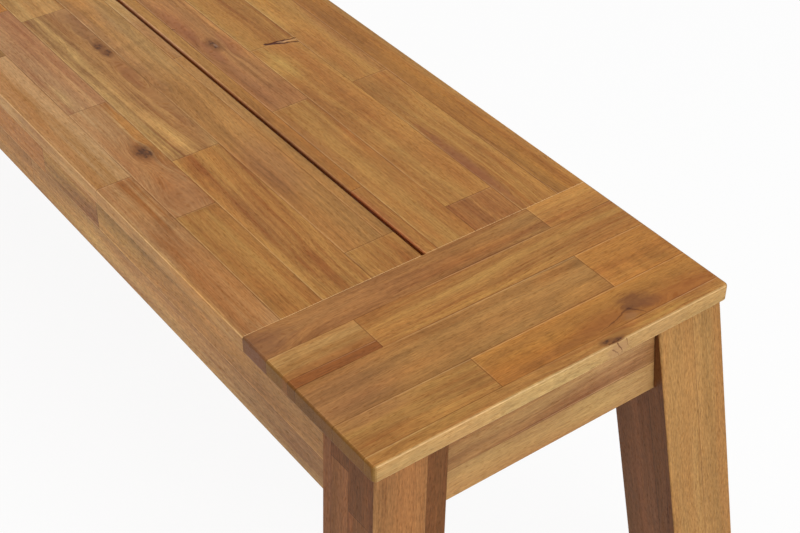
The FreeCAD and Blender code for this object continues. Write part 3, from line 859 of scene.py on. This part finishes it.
# Long seat boards. Rows run from -Y to +Y and each starts at the photographed end.
seatBoards = {
    "outerArris": 2.5,
    "gapArris": 1.5,
    "undersideEase": 1.5,
    "jointEase": 1.6,
    # the chamfers at the joint with the end board take a strong painted highlight
    "jointHighlight": 3.3,
    # painted shade on the left board's rounded gap edge, a painted highlight on the right board's
    "gapShadeAndHighlight": {"left": -0.3, "right": 0.4},
    "left": {
        "seed": 4,
        # the paler, dustier looks on this board, strongest far from the photographed end, stand
        # partly for a painted sheen
        "rows": [
            {"wide": 34.5, "staves": [(239, "dustyRed", 0.96), (250, "hazel", 1.06)],
             "edge": "sandy"},
            {"wide": 40,
             "staves": [(163, "golden", 0.94), (195.5, "dustyRed", 1.05), (210, "dusty", 1.05)]},
            {"wide": 48.3, "staves": [(238, "goldenStreaked", 1), (300, "plumStreaked", 0.98)]},
            {"staves": [(40, "golden", 0.98)], "edge": "gapRed", "strips": [
                {"wide": 38.9, "staves": [(540, "olive", 1.05)]},
                {"wide": 11.8, "staves": [(348, "olive", 0.98), (140, "hazel", 0.98)],
                 "edge": "gapRed"},
            ]},
        ],
        "flaws": [
            bruise(100, 31, 26, 8, 0.4, (146, 98, 68)),
            bruise(140, 30, 22, 6, 0.35, (140, 96, 60)),
            bruise(236, 27.5, 17, 4.5, 0.5, (142, 88, 54)),
            bruise(290, 28, 34, 6, 0.3, (158, 98, 58)),
            bruise(437, -31, 20, 11, 0.4, (156, 94, 52)),
            bruise(274, 43, 7, 4, 0.3, (134, 90, 56)), knot(172.8, 28.3, 5.5, 3.4, 0.85),
            knot(188.9, 29.7, 5.6, 3.8, 0.9), knot(360, -24.75, 9, 6, 0.85),
        ],
        "drifts": [
            drift(563, -70, 75, 26, (1.02, 0.88, 0.72)),
            drift(540, -56, 120, 10, (0.92, 0.83, 0.72)),
            drift(425, -67, 45, 18, (1.12, 1.18, 1.15)),
            drift(385, -32, 55, 14, (0.94, 0.78, 0.64)), drift(325, -16, 60, 8, (1.5, 1.8, 1.8)),
            drift(353, -6, 34, 9, (1.25, 1.35, 1.25)), drift(352, 29, 36, 10, (0.8, 0.7, 0.7)),
            drift(108, 40, 30, 8, (1.2, 1.2, 1.25)), drift(233, -46, 30, 9, (1.22, 1.38, 1.3)),
            drift(133, 60, 44, 8, (0.82, 0.84, 0.92)), drift(503, 5, 48, 16, (0.9, 0.84, 0.89)),
            drift(185, 30, 85, 9, (0.76, 0.69, 0.72)), drift(190, 40, 150, 8, (1.22, 1.22, 1.35)),
            drift(470, 42, 60, 9, (0.82, 0.8, 0.86)), drift(342, 16, 44, 14, (1.2, 1.26, 1.22)),
            drift(443, 56, 62, 20, (0.88, 0.84, 0.97)), drift(180, 58, 120, 24, (1.07, 1.2, 1.4)),
            drift(320, 80, 90, 10, (0.95, 1.02, 1.15)), drift(100, 80, 60, 10, (1.15, 1.3, 1.25)),
        ],
    },
    "right": {
        "seed": 5,
        "rows": [
            {"wide": 52.5, "strips": [
                {"wide": 12.5, "staves": [(108, "golden", 0.98), (440, "orange", 0.89)],
                 "edge": "gapRed"},
                {"wide": 40, "staves": [(253, "golden", 1), (300, "rouge", 1.03)]},
            ]},
            {"wide": 49.5,
             "staves": [(42, "brown", 1.18), (314, "golden", 1.02), (260, "goldenStreaked", 0.9)]},
            {"wide": 39.5, "staves": [(252, "golden", 1), (290, "golden", 1)]},
            {"wide": 32, "staves": [(560, "copper", 0.9)]},
        ],
        "flaws": [
            bruise(188, -65, 26, 4.5, 0.5, (148, 88, 60)),
            bruise(250, -63, 13, 4, 0.4, (144, 86, 60)),
            bruise(246, -42, 14, 4, 0.4, (160, 96, 64)),
            bruise(545, 19.5, 38, 4, 0.65, (140, 84, 58)), knot(237.3, -55.5, 8, 4, 0.9),
            bruise(239.5, -54.5, 2.2, 0.8, 0.8, (150, 116, 92)),
            crack((268, -12), (276, 14.5), 2, 0.6, "sliver"),
            crack((267, -14), (273, 16), 2.3, 1, "crack"),
            crack((267, -14), (281, 15), 2.5, 1, "crack"),
            crack((188, -74), (190, -71), 0.9, 0.9, "crack"),
        ],
        "drifts": [
            drift(200, -80, 150, 10, (1.1, 1.22, 1.5)), drift(430, -80, 110, 10, (0.97, 1, 1.15)),
            # the next drift is painted shade along the gap near the joint, and the one after a
            # painted highlight on the gap's rounded edge
            drift(560, -86.5, 90, 6, (0.86, 0.72, 0.78)),
            drift(160, -86.3, 180, 2.2, (1.22, 1.32, 1.65)),
            drift(450, -70, 90, 8, (0.82, 0.76, 0.84)), drift(453, -38, 50, 8, (1.14, 1.1, 1.05)),
            drift(240, -38, 60, 6, (1.2, 1.18, 1.08)), drift(310, -63, 70, 9, (0.88, 0.82, 0.88)),
            drift(190, 31, 34, 8, (1.16, 1.22, 1.15)), drift(213, 38, 50, 9, (0.82, 0.82, 0.84)),
            drift(260, -69, 150, 8, (0.82, 0.8, 0.8)), drift(160, -38, 70, 8, (1.35, 1.4, 1.3)),
            drift(312, -22, 32, 18, (1.16, 1.35, 1.35)), drift(405, -29, 55, 9, (0.82, 0.77, 0.8)),
            drift(215, 26, 85, 16, (1.22, 1.33, 1.3)), drift(410, 26, 45, 16, (0.88, 0.86, 0.87)),
            drift(310, 52, 110, 7, (0.86, 0.8, 0.88)), drift(400, 60, 280, 9, (0.86, 0.86, 0.93)),
            drift(430, 85, 300, 8, (1.1, 1.3, 1.6)), drift(353, -54, 38, 20, (0.88, 0.82, 0.83)),
            drift(473, -9, 42, 24, (1.07, 1.14, 1.15)), drift(593, 45, 60, 20, (1.05, 1.08, 1.06)),
        ],
    },
}


def makeSeatBoard(side, sign):
    values = seatBoards[side]
    node = "seat_board_" + side
    middle, size = nodeBox(node)
    bm = startBlock(*size)
    outer, top = sign * size.y / 2, size.z / 2
    for name, segments, y, z in (("outerArris", 4, outer, top), ("gapArris", 3, -outer, top),
                                 ("undersideEase", 3, outer, -top)):
        roundEdges(bm, seatBoards[name], segments,
                   lambda a, b: both(a, b, 1, y) and both(a, b, 2, z))
    roundEdges(bm, seatBoards["jointEase"], 1,
               lambda a, b: both(a, b, 2, top) and abs(a.x - b.x) < 0.01)

    def wearAndLight(face):
        if abs(face.normal.x) > 0.5:
            return seatBoards["jointHighlight"]
        if face.calc_center_median().y * sign < 0:
            return seatBoards["gapShadeAndHighlight"][side]
        return edgeWearAndHighlight(face)

    wood = makeHardwood("oiledHardwood." + side, values)
    placeBlock(bm, "seatBoard." + side, node, values, wood, Matrix.Translation(middle), wearAndLight)


for side, sign in sides:
    makeSeatBoard(side, sign)
print("long seat boards")

# End boards, their grain across the bench. Rows run from the joint to the outer edge, and each
# starts at the +Y side.
endBoards = {
    "corner": 4,
    "arris": 2.5,
    "undersideEase": 1.5,
    "jointEase": 0.8,
    "near": {
        "seed": 8,
        "rows": [
            {"wide": 33.6, "staves": [(67.5, "golden", 1.1), (282.5, "brown", 0.97)]},
            {"wide": 40, "staves": [(269, "golden", 1.03)], "strips": [
                {"wide": 29.7, "staves": [(81, "straw", 1.05)]},
                {"wide": 10.3, "staves": [(81, "red", 0.97)]},
            ]},
            {"wide": 49.4, "staves": [(77, "orange", 1.15), (273, "olive", 1.04)]},
            {"wide": 39.2, "staves": [(223.3, "orange", 1), (126.7, "golden", 0.94)]},
            {"wide": 12.8, "staves": [(350, "golden", 1.04)], "edge": "parched"},
        ],
        "flaws": [
            bruise(-170, -70, 16, 11, 0.6, (118, 74, 54)),
            bruise(-135, -27.5, 42, 3, 0.28, (152, 92, 52)),
            bruise(140, 72, 24, 8, 0.6, (154, 86, 42)), bruise(62, 63, 15, 6, 0.45, (150, 88, 44)),
            bruise(98.5, 58, 8, 6, 0.85, (120, 74, 44)), bruise(110, 65, 6, 4, 0.6, (124, 76, 46)),
            bruise(84, 70.5, 4, 2.5, 0.5, (158, 112, 74)), knot(90, 62, 4, 2.5, 0.75),
            bruise(62, 81.5, 7, 2.5, 0.6, (144, 98, 52), over=True),
            bruise(57, 95.5, 6, 5, 0.8, (166, 126, 86), over=True),
            knot(47.5, 82.5, 4, 2.2, 0.8, over=True), knot(55.5, 85.2, 5, 1.7, 0.9, over=True),
            crack((89, 62), (68.3, 68.3), 1.2, 0.6, "split"),
            crack((68.3, 68.3), (52, 71.5), 0.9, 0.6, "split"),
            crack((89, 62), (97, 73.5), 1.4, 0.65, "split"),
            crack((47, 86), (62, 87.5), 1, 0.7, "split", over=True),
            crack((55.5, 89), (61, 101), 1, 0.75, "split", over=True),
            crack((50.5, 93), (58, 103), 0.8, 0.6, "split", over=True),
            crack((64.5, 88), (66.5, 97), 0.8, 0.5, "split", over=True),
        ],
        "drifts": [
            drift(-85, -70, 110, 24, (0.92, 0.91, 1.04)), drift(-134, -26, 60, 7, (1, 0.88, 0.8)),
            drift(0, 57, 50, 9, (1.2, 1.22, 1.1)), drift(70, -6, 26, 7, (1.2, 1.1, 1)),
            drift(74, 25, 34, 12, (1.24, 1.24, 1.15)), drift(12, -19, 80, 6, (1.12, 1.12, 1.05)),
            drift(40, -62, 80, 9, (1.14, 1.08, 1.04)), drift(-145, 27, 45, 12, (0.83, 0.81, 0.84)),
            drift(-140, 42, 50, 9, (0.86, 0.8, 0.95)), drift(-110, 68, 55, 7, (1.15, 1.2, 1.18)),
            drift(60, 68, 80, 7, (0.84, 0.8, 0.85)), drift(106, -70, 40, 20, (1.05, 1.12, 1.15)),
            drift(-155, 11, 62, 30, (0.84, 0.83, 0.99)),
            drift(107, 80, 34, 5.5, (1.15, 1.3, 1.22)), drift(-120, 80, 60, 6, (0.9, 0.9, 0.87)),
            drift(150, 98, 40, 14, (0.93, 0.95, 0.9), over=True),
            drift(75, 98, 70, 14, (0.86, 0.87, 0.86), over=True),
            drift(-25, 98, 70, 14, (1.04, 1.14, 1.15), over=True),
            drift(-150, 98, 50, 14, (0.91, 0.95, 0.95), over=True),
        ],
    },
    "far": {
        "seed": 9,
        "rows": [{"wide": 28}, {"wide": 44}, {"wide": 36}, {"wide": 42}, {}],
    },
}


def makeEndBoard(end, sign):
    values = endBoards[end]
    node = "end_board_" + end
    middle, size = nodeBox(node)
    bm = startBlock(size.y, size.x, size.z)
    outer, top = size.x / 2, size.z / 2
    roundEdges(bm, endBoards["corner"], 5,
               lambda a, b: both(a, b, 1, outer) and abs(a.z - b.z) > 1)
    for radius, level in ((endBoards["arris"], top), (endBoards["undersideEase"], -top)):
        roundEdges(bm, radius, 4,
                   lambda a, b: both(a, b, 2, level) and not both(a, b, 1, -outer))
    roundEdges(bm, endBoards["jointEase"], 1,
               lambda a, b: both(a, b, 2, top) and both(a, b, 1, -outer))

    def wearAndLight(face):
        endwise = abs(face.normal.x)
        if endwise > 0.25 or abs(face.normal.z) < 0.3:
            return -min(max(1.2 * endwise - 0.15, 0), 1)
        return edgeWearAndHighlight(face)

    wood = makeHardwood("oiledHardwood." + end, values)
    placeBlock(bm, "endBoard." + end, node, values, wood,
               axes(alongY, sign * alongX, alongZ, middle), wearAndLight)


for end, sign in ends:
    makeEndBoard(end, sign)
print("end boards")

# Aprons, two rows of staves each with the lower row first, their ends cut to the legs' lean
aprons = {
    "arris": 1,
    "splay": 6.4,
    "sideSpeck": 0.8,
    "endSpeck": 0.35,
    "side_apron_left": {
        "seed": 12,
        "rows": [
            {"wide": 33, "staves": [(500, "sandy", 0.95)]},
            {"wide": 36, "staves": [(364, "olive", 0.94), (104, "brown", 1), (200, "tan", 1)]},
        ],
        "drifts": [
            # the darker patches by the near leg are painted shade, the lighter ones further along
            # painted light
            drift(705, 18, 110, 30, (0.72, 0.74, 0.84)),
            drift(390, 18, 90, 30, (1.06, 1.12, 1.05)), drift(289, 18, 70, 30, (0.96, 1.04, 0.92)),
            drift(690, -18, 140, 30, (0.72, 0.69, 0.72)),
            drift(300, -18, 110, 30, (1.13, 1.22, 1.1)),
        ],
    },
    "side_apron_right": {
        "seed": 13,
        "rows": [{"wide": 33}, {}],
    },
    "end_apron_near": {
        "seed": 14,
        "rows": [
            {"wide": 31, "staves": [(224, "quiet", 0.95)]},
            {"wide": 38, "staves": [(224, "dusk", 0.86)]},
        ],
        "drifts": [
            drift(0, -18, 190, 60, (0.96, 1.02, 0.82)), drift(60, 18, 60, 30, (1.07, 1.06, 1.15)),
        ],
    },
    "end_apron_far": {
        "seed": 15,
        "rows": [{"wide": 29}, {}],
    },
}


def makeApron(node, along, outward):
    values = aprons[node]
    middle, size = nodeBox(node)
    bm = startBlock(abs(size.dot(along)), size.z, abs(size.dot(outward)))
    slope = math.tan(math.radians(aprons["splay"]))
    for vert in bm.verts:
        vert.co.x -= math.copysign(slope * (vert.co.y + mm(size.z) / 2), vert.co.x)
    roundEdges(bm, aprons["arris"], 2,
               lambda a, b: abs(a.z - b.z) < 0.01 and not both(a, b, 1, size.z / 2))
    wood = hardwood
    if "drifts" in values:
        speck = aprons["sideSpeck" if along is alongX else "endSpeck"]
        wood = makeHardwood("oiledHardwood." + node, values, speck=speck)
    placeBlock(bm, node.replace("_", "."), node, values, wood,
               axes(along, alongZ, outward, middle))


for side, sign in sides:
    makeApron("side_apron_" + side, alongX, sign * alongY)
for end, sign in ends:
    makeApron("end_apron_" + end, alongY, sign * alongX)
print("aprons")

# Legs, layered from their inner X face to their outer one. Rows run from the inner Y face to
# the outer one, and each starts at the top.
legs = {
    "section": 67,
    "arris": 1.5,
    # how pale the legs' rounded edges are, by wear and a painted highlight
    "wearAndLight": 0.2,
    "footEase": 1,
    "near_left": {"seed": 21, "layers": [
        {"thick": 11.5, "rows": [{"staves": [(431, "plum", 0.9)]}]},
        {"thick": 22.5, "rows": [{"staves": [(17, "dark", 1), (414, "plum", 1.12)]}]},
        {"thick": 31, "rows": [
            {"wide": 19.5, "staves": [(431, "plum", 1)]},
            {"staves": [(52, "dark", 1.1), (379, "plum", 1)]}]},
        {"rows": [{"wide": 19.5, "staves": [(431, "plum", 0.92)]},
                  {"staves": [(431, "tawny", 0.74)]}]},
    ]},
    "near_right": {"seed": 22, "layers": [
        {"thick": 46, "rows": [{"wide": 34, "staves": [(431, "plum", 0.9)]}, {}]},
        {"thick": 19, "rows": [{"wide": 34, "staves": [(431, "dark", 0.95)]}, {}]},
        {"rows": [{"wide": 35.6, "staves": [(431, "calm", 0.95)]},
                  {"staves": [(431, "calm", 0.95)]}]},
    ]},
    "far_left": {"seed": 23, "layers": [
        {"thick": 34, "rows": [{"wide": 28}, {}]}, {"rows": [{"wide": 40}, {}]}]},
    "far_right": {"seed": 24, "layers": [
        {"thick": 30, "rows": [{"wide": 40}, {}]}, {"rows": [{"wide": 25}, {}]}]},
}


def makeLeg(end, side, endSign, sideSign):
    values = legs[end + "_" + side]
    node = "leg_%s_%s" % (end, side)
    middle, size = nodeBox(node)
    section = legs["section"]
    bm = startBlock(size.z, section, section)
    roundEdges(bm, legs["arris"], 3, lambda a, b: abs(a.x - b.x) > 1)
    roundEdges(bm, legs["footEase"], 1, lambda a, b: both(a, b, 0, -size.z / 2))
    lean = (size.x - section) / size.z
    upright = Vector((-endSign * lean, -sideSign * lean, 1))
    placeBlock(bm, "leg.%s.%s" % (end, side), node, values, hardwood,
               axes(upright, sideSign * alongY, endSign * alongX, middle),
               lambda face: legs["wearAndLight"])


for end, endSign in ends:
    for side, sideSign in sides:
        makeLeg(end, side, endSign, sideSign)
print("legs")

# Rails, cleats and braces keep their CAD shapes and take planed wood with the grain along them
plainWood = {
    "light": (186, 142, 96),
    "dark": (150, 104, 64),
    "streak": 0.5,
    "runout": 0.01,
    "speck": 0.5,
    "heart": (0, 42, -55),
}


def makePlainWood(name, turn):
    material, tree, surface = newMaterial(name)
    turned = addNode(tree, "ShaderNodeVectorRotate",
                     {"Vector": objectSpot(tree), "Angle": math.radians(turn)},
                     rotation_type="Z_AXIS").outputs[0]
    figured = useGroup(tree, grainGroup, {
        "Spot": turned, "Heart": mm(*plainWood["heart"]), "Light": paint(plainWood["light"]),
        "Dark": paint(plainWood["dark"]), "Streak": plainWood["streak"],
        "Runout": plainWood["runout"], "Speck": plainWood["speck"],
    })
    colour, rough, height = (figured[name] for name in ("Color", "Roughness", "Height"))
    finishSurface(tree, surface, colour, rough, height, 0.5, 0.3)
    fill(tree, surface, sheen)
    return material


def dress(node, material):
    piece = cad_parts[node]
    if not piece.material_slots:
        piece.data.materials.append(material)
    for slot in piece.material_slots:
        slot.material = material


railWood = makePlainWood("planedWood.across", -90)
braceWoods = {1: makePlainWood("planedWood.diagonal", -45),
              -1: makePlainWood("planedWood.counterDiagonal", 45)}
for end, endSign in ends:
    for node in ("joint_rail_", "cross_rail_", "end_cleat_"):
        dress(node + end, railWood)
    for side, sideSign in sides:
        dress("corner_brace_%s_%s" % (end, side), braceWoods[-endSign * sideSign])
print("rails, cleats and braces")


# Small fasteners. A CAD node holds all the copies of one kind, so each copy's line is read
# from the frame and one detailed master, drawn along +Z, is set on every line.
def copiesOf(node):
    bm = bmesh.new()
    bm.from_mesh(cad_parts[node].data)
    bmesh.ops.remove_doubles(bm, verts=bm.verts, dist=mm(0.005))
    left = set(bm.verts)
    found = []
    for first in bm.verts:
        if first not in left:
            continue
        left.discard(first)
        reached, waiting = [first.co.copy()], [first]
        while waiting:
            for edge in waiting.pop().link_edges:
                for vert in edge.verts:
                    if vert in left:
                        left.discard(vert)
                        reached.append(vert.co.copy())
                        waiting.append(vert)
        if len(reached) > 20:
            found.append(reached)
    bm.free()
    return found


def footOf(points, axis):
    across = axis.orthogonal().normalized()
    foot = axis * min(point.dot(axis) for point in points)
    for way in (across, axis.cross(across)):
        reach = [point.dot(way) for point in points]
        foot += way * (min(reach) + max(reach)) / 2
    return foot


# Loops of vertices from a turned shape's profile, a list of radius and height
def rings(bm, profile, segments=24):
    return [bmesh.ops.create_circle(bm, segments=segments, radius=mm(radius),
                                    matrix=Matrix.Translation(mm(0, 0, level)))["verts"]
            for radius, level in profile]


def edgesOf(verts):
    chosen = set(verts)
    return [edge for edge in {edge for vert in verts for edge in vert.link_edges}
            if edge.verts[0] in chosen and edge.verts[1] in chosen]


def join(bm, loops, closed=False):
    for lower, upper in zip(loops, loops[1:] + loops[:1] if closed else loops[1:]):
        bmesh.ops.bridge_loops(bm, edges=edgesOf(lower) + edgesOf(upper))


def cap(bm, *loops):
    for loop in loops:
        bmesh.ops.contextual_create(bm, geom=edgesOf(loop))


# A ridge that climbs round a shank as a closed strip
def addThread(bm, core, crest, low, high, pitch, steps=12):
    root, foot = core * 0.92, pitch * 0.3
    corners = [bm.verts.new(mm(radius, 0, level))
               for radius, level in ((root, low - foot), (crest, low), (root, low + foot))]
    face = bm.faces.new(corners)
    turns = (high - low) / pitch
    bmesh.ops.spin(bm, geom=[face, *face.edges, *corners], cent=(0, 0, 0), axis=(0, 0, 1),
                   dvec=mm(0, 0, pitch / steps), angle=math.tau * turns,
                   steps=round(turns * steps), use_merge=False)


screws = {
    "head": 4, "countersink": 2.5, "core": 1.45, "crest": 2, "pitch": 1.7,
    "slot": 0.55, "slotReach": 2.2, "slotDeep": 1.6,
}


def drawScrew(long):
    bm = bmesh.new()
    head, sink, core = screws["head"], screws["countersink"], screws["core"]
    loops = rings(bm, [(head - 0.15, 0), (head, 0.12), (head, 0.35), (core + 0.25, sink),
                       (core, sink + 2), (core, long - 5), (0.25, long - 0.2)])
    join(bm, loops)
    cap(bm, loops[-1])
    # the cross-shaped recess
    narrow, reach = screws["slot"], screws["slotReach"]
    corner = [(reach, narrow), (narrow, narrow), (narrow, reach)]
    mouth = []
    for _ in range(4):
        mouth += [bm.verts.new(mm(x, y, 0)) for x, y in corner]
        corner = [(-y, x) for x, y in corner]
    for a, b in zip(mouth, mouth[1:] + mouth[:1]):
        bm.edges.new((a, b))
    join(bm, [loops[0], mouth])
    sunk = bmesh.ops.extrude_edge_only(bm, edges=edgesOf(mouth))["geom"]
    sunk = [item for item in sunk if isinstance(item, bmesh.types.BMVert)]
    bmesh.ops.scale(bm, vec=(0.55, 0.55, 1), verts=sunk)
    bmesh.ops.translate(bm, vec=mm(0, 0, screws["slotDeep"]), verts=sunk)
    cap(bm, sunk)
    addThread(bm, core, screws["crest"], sink + 3, long - 5, screws["pitch"])
    return bm


bolts = {"long": 90, "radius": 4, "core": 3.35, "machine": 41, "pitch": 1.25,
         "woodPitch": 3.6, "woodCore": 2.9}


def drawBolt():
    bm = bmesh.new()
    radius, core, woodCore = bolts["radius"], bolts["core"], bolts["woodCore"]
    half, long = bolts["machine"], bolts["long"]
    loops = rings(bm, [(core - 0.6, 0), (core, 0.7), (core, half - 1), (radius, half),
                       (radius, half + 5), (woodCore, half + 6.5), (woodCore, long - 8),
                       (0.3, long - 0.2)])
    join(bm, loops)
    cap(bm, loops[0], loops[-1])
    addThread(bm, core, radius, 1, half - 1, bolts["pitch"], 16)
    addThread(bm, woodCore, radius, half + 8, long - 9, bolts["woodPitch"], 16)
    return bm


washers = {"outer": 10, "inner": 4.2, "thick": 1.6, "ease": 0.3}


def drawWasher():
    bm = bmesh.new()
    inner, outer, thick, ease = (washers[key] for key in ("inner", "outer", "thick", "ease"))
    profile = ((inner + ease, 0), (outer - ease, 0), (outer, ease), (outer, thick - ease),
               (outer - ease, thick), (inner + ease, thick), (inner, thick - ease),
               (inner, ease))
    join(bm, rings(bm, profile, 40), closed=True)
    return bm


nuts = {"across": 13, "thick": 6.5, "bore": 4.05, "countersink": 4.6}


def drawNut():
    bm = bmesh.new()
    flat, thick, bore, sink = nuts["across"] / 2, nuts["thick"], nuts["bore"], nuts["countersink"]
    loops = rings(bm, [(bore, 0.7), (sink, 0), (flat - 0.2, 0), (flat, 0), (flat, thick),
                       (flat - 0.2, thick), (sink, thick), (bore, thick - 0.7)], 36)
    for loop, inward in zip(loops[3:5], (1, -1)):
        for vert in loop:
            turn = math.atan2(vert.co.y, vert.co.x) % math.radians(60) - math.radians(30)
            further = 1 / math.cos(turn)
            lift = inward * mm((further - 1) * flat * 0.55 + 0.15)
            vert.co = Vector((vert.co.x * further, vert.co.y * further, vert.co.z + lift))
    join(bm, loops, closed=True)
    return bm


dowels = {"end": 1, "flute": 0.94, "endApronFrom": 770}


def drawDowel(radius, long):
    bm = bmesh.new()
    end, flute = dowels["end"], dowels["flute"]
    loops = rings(bm, [(radius - end, 0), (radius, end), (radius, long - end),
                       (radius - end, long)])
    for loop in loops[1:3]:
        bmesh.ops.scale(bm, vec=(flute, flute, 1), verts=loop[::2])
    join(bm, loops)
    cap(bm, loops[0], loops[-1])
    return bm


glides = {"radius": 12, "thick": 3, "ease": 0.8, "nailHead": 3.2, "nailHigh": 17, "nail": 1.9}


def drawGlide():
    bm = bmesh.new()
    radius, thick, ease = glides["radius"], glides["thick"], glides["ease"]
    head, nail, high = glides["nailHead"], glides["nail"], glides["nailHigh"]
    loops = rings(bm, [(head - 1, 0.9), (head, 1.1), (head + 0.3, 0.2), (head + 0.7, 0),
                       (radius - ease, 0), (radius - 0.25, ease * 0.3), (radius, ease),
                       (radius, thick - 0.3), (radius - 0.3, thick), (nail, thick),
                       (nail, high - 3), (0.2, high - 0.1)], 40)
    join(bm, loops)
    cap(bm, loops[0], loops[-1])
    return bm


def setOut(name, node, master, materials, lineFor, turns=False):
    bmesh.ops.recalc_face_normals(master, faces=master.faces)
    for face in master.faces:
        face.smooth = True
    for edge in master.edges:
        edge.smooth = edge.calc_face_angle(0) < math.radians(32)
    mesh = bpy.data.meshes.new(name + ".master")
    master.to_mesh(mesh)
    master.free()
    rng = random.Random(name)
    bm = bmesh.new()
    for points in copiesOf(node):
        axis = lineFor(sum(points, Vector()) / len(points))
        before = len(bm.verts)
        bm.from_mesh(mesh)
        bm.verts.ensure_lookup_table()
        turn = Matrix.Rotation(rng.uniform(0, math.tau) if turns else 0, 4, "Z")
        lift = axis.to_track_quat("Z", "Y").to_matrix().to_4x4()
        place = Matrix.Translation(footOf(points, axis)) @ lift @ turn
        bmesh.ops.transform(bm, matrix=place, verts=bm.verts[before:])
    bpy.data.meshes.remove(mesh)
    return finishPiece(bm, name, node, materials)


metalAndPlastic = {
    "zinc": (196, 196, 190),
    "zincDull": (158, 156, 148),
    "nylon": (44, 40, 37),
    "nylonScuff": (66, 62, 58),
    "beechLight": (222, 190, 146),
    "beechDark": (196, 158, 112),
}


def mottled(tree, mask, first, second):
    return blend(tree, mask, paint(metalAndPlastic[first]), paint(metalAndPlastic[second]))


def makeZinc():
    material, tree, surface = newMaterial("zincSteel")
    spot = objectSpot(tree)
    spangle = noise(tree, spot, (900, 900, 900))
    dull = remap(tree, noise(tree, spot, (120, 120, 120), 3), 0.4, 0.65, smooth=True)
    rough = addTimes(tree, dull, 0.16, remap(tree, spangle, 0.3, 0.7, 0.24, 0.34))
    colour = mottled(tree, dull, "zinc", "zincDull")
    finishSurface(tree, surface, colour, rough, spangle, 0.12, 0.05)
    surface.inputs["Metallic"].default_value = 1
    return material


def makeNylon():
    material, tree, surface = newMaterial("glideNylon")
    spot = objectSpot(tree)
    scuff = remap(tree, noise(tree, spot, (260, 90, 260), 4), 0.52, 0.68, smooth=True)
    grit = noise(tree, spot, (1800, 1800, 1800), 1)
    rough = addTimes(tree, scuff, 0.15, 0.5)
    colour = mottled(tree, scuff, "nylon", "nylonScuff")
    finishSurface(tree, surface, colour, rough, grit, 0.2, 0.06)
    return material


def makeBeech():
    material, tree, surface = newMaterial("dowelBeech")
    fleck = remap(tree, noise(tree, objectSpot(tree), (700, 700, 700)), 0.45, 0.65)
    rough = remap(tree, fleck, 0, 1, 0.55, 0.7)
    colour = mottled(tree, fleck, "beechLight", "beechDark")
    finishSurface(tree, surface, colour, rough, fleck, 0.2, 0.1)
    return material


zinc, nylon, beech = makeZinc(), makeNylon(), makeBeech()


# The way that a copy's line runs, from where its middle lies on the bench
def upward(middle):
    return alongZ


def outwardX(middle):
    return alongX * math.copysign(1, middle.x)


def outwardY(middle):
    return alongY * math.copysign(1, middle.y)


def cornerwise(middle):
    return (outwardX(middle) + outwardY(middle)).normalized()


def alongApron(middle):
    return outwardY(middle) if abs(middle.x) > mm(dowels["endApronFrom"]) else outwardX(middle)


setOut("seatScrews", "seat_screws", drawScrew(32), [zinc], upward, True)
setOut("cleatScrews", "cleat_screws", drawScrew(35), [zinc], outwardX, True)
setOut("braceScrews", "brace_screws", drawScrew(35), [zinc], cornerwise, True)
setOut("legBolts", "leg_bolts", drawBolt(), [zinc], cornerwise)
setOut("legWashers", "leg_washers", drawWasher(), [zinc], cornerwise)
setOut("legNuts", "leg_nuts", drawNut(), [zinc], cornerwise)
setOut("seatDowels", "seat_dowels", drawDowel(4, 40), [beech], outwardX)
setOut("railDowels", "rail_dowels", drawDowel(4, 30), [beech], outwardY)
setOut("apronDowels", "apron_dowels", drawDowel(5, 60), [beech], alongApron)
for end, endSign in ends:
    for side, sideSign in sides:
        piece = setOut("footGlide.%s.%s" % (end, side), "foot_glide_%s_%s" % (end, side),
                       drawGlide(), [nylon, zinc], upward)
        for face in piece.data.polygons:
            high = face.center.z * 1000
            spread = max(abs(face.normal.x), abs(face.normal.y))
            # the nail and its sunk head are of metal
            if high > glides["thick"] + 0.2 or (0.7 < high < 1.2 and spread < 0.3):
                face.material_index = 1
print("fasteners and glides")
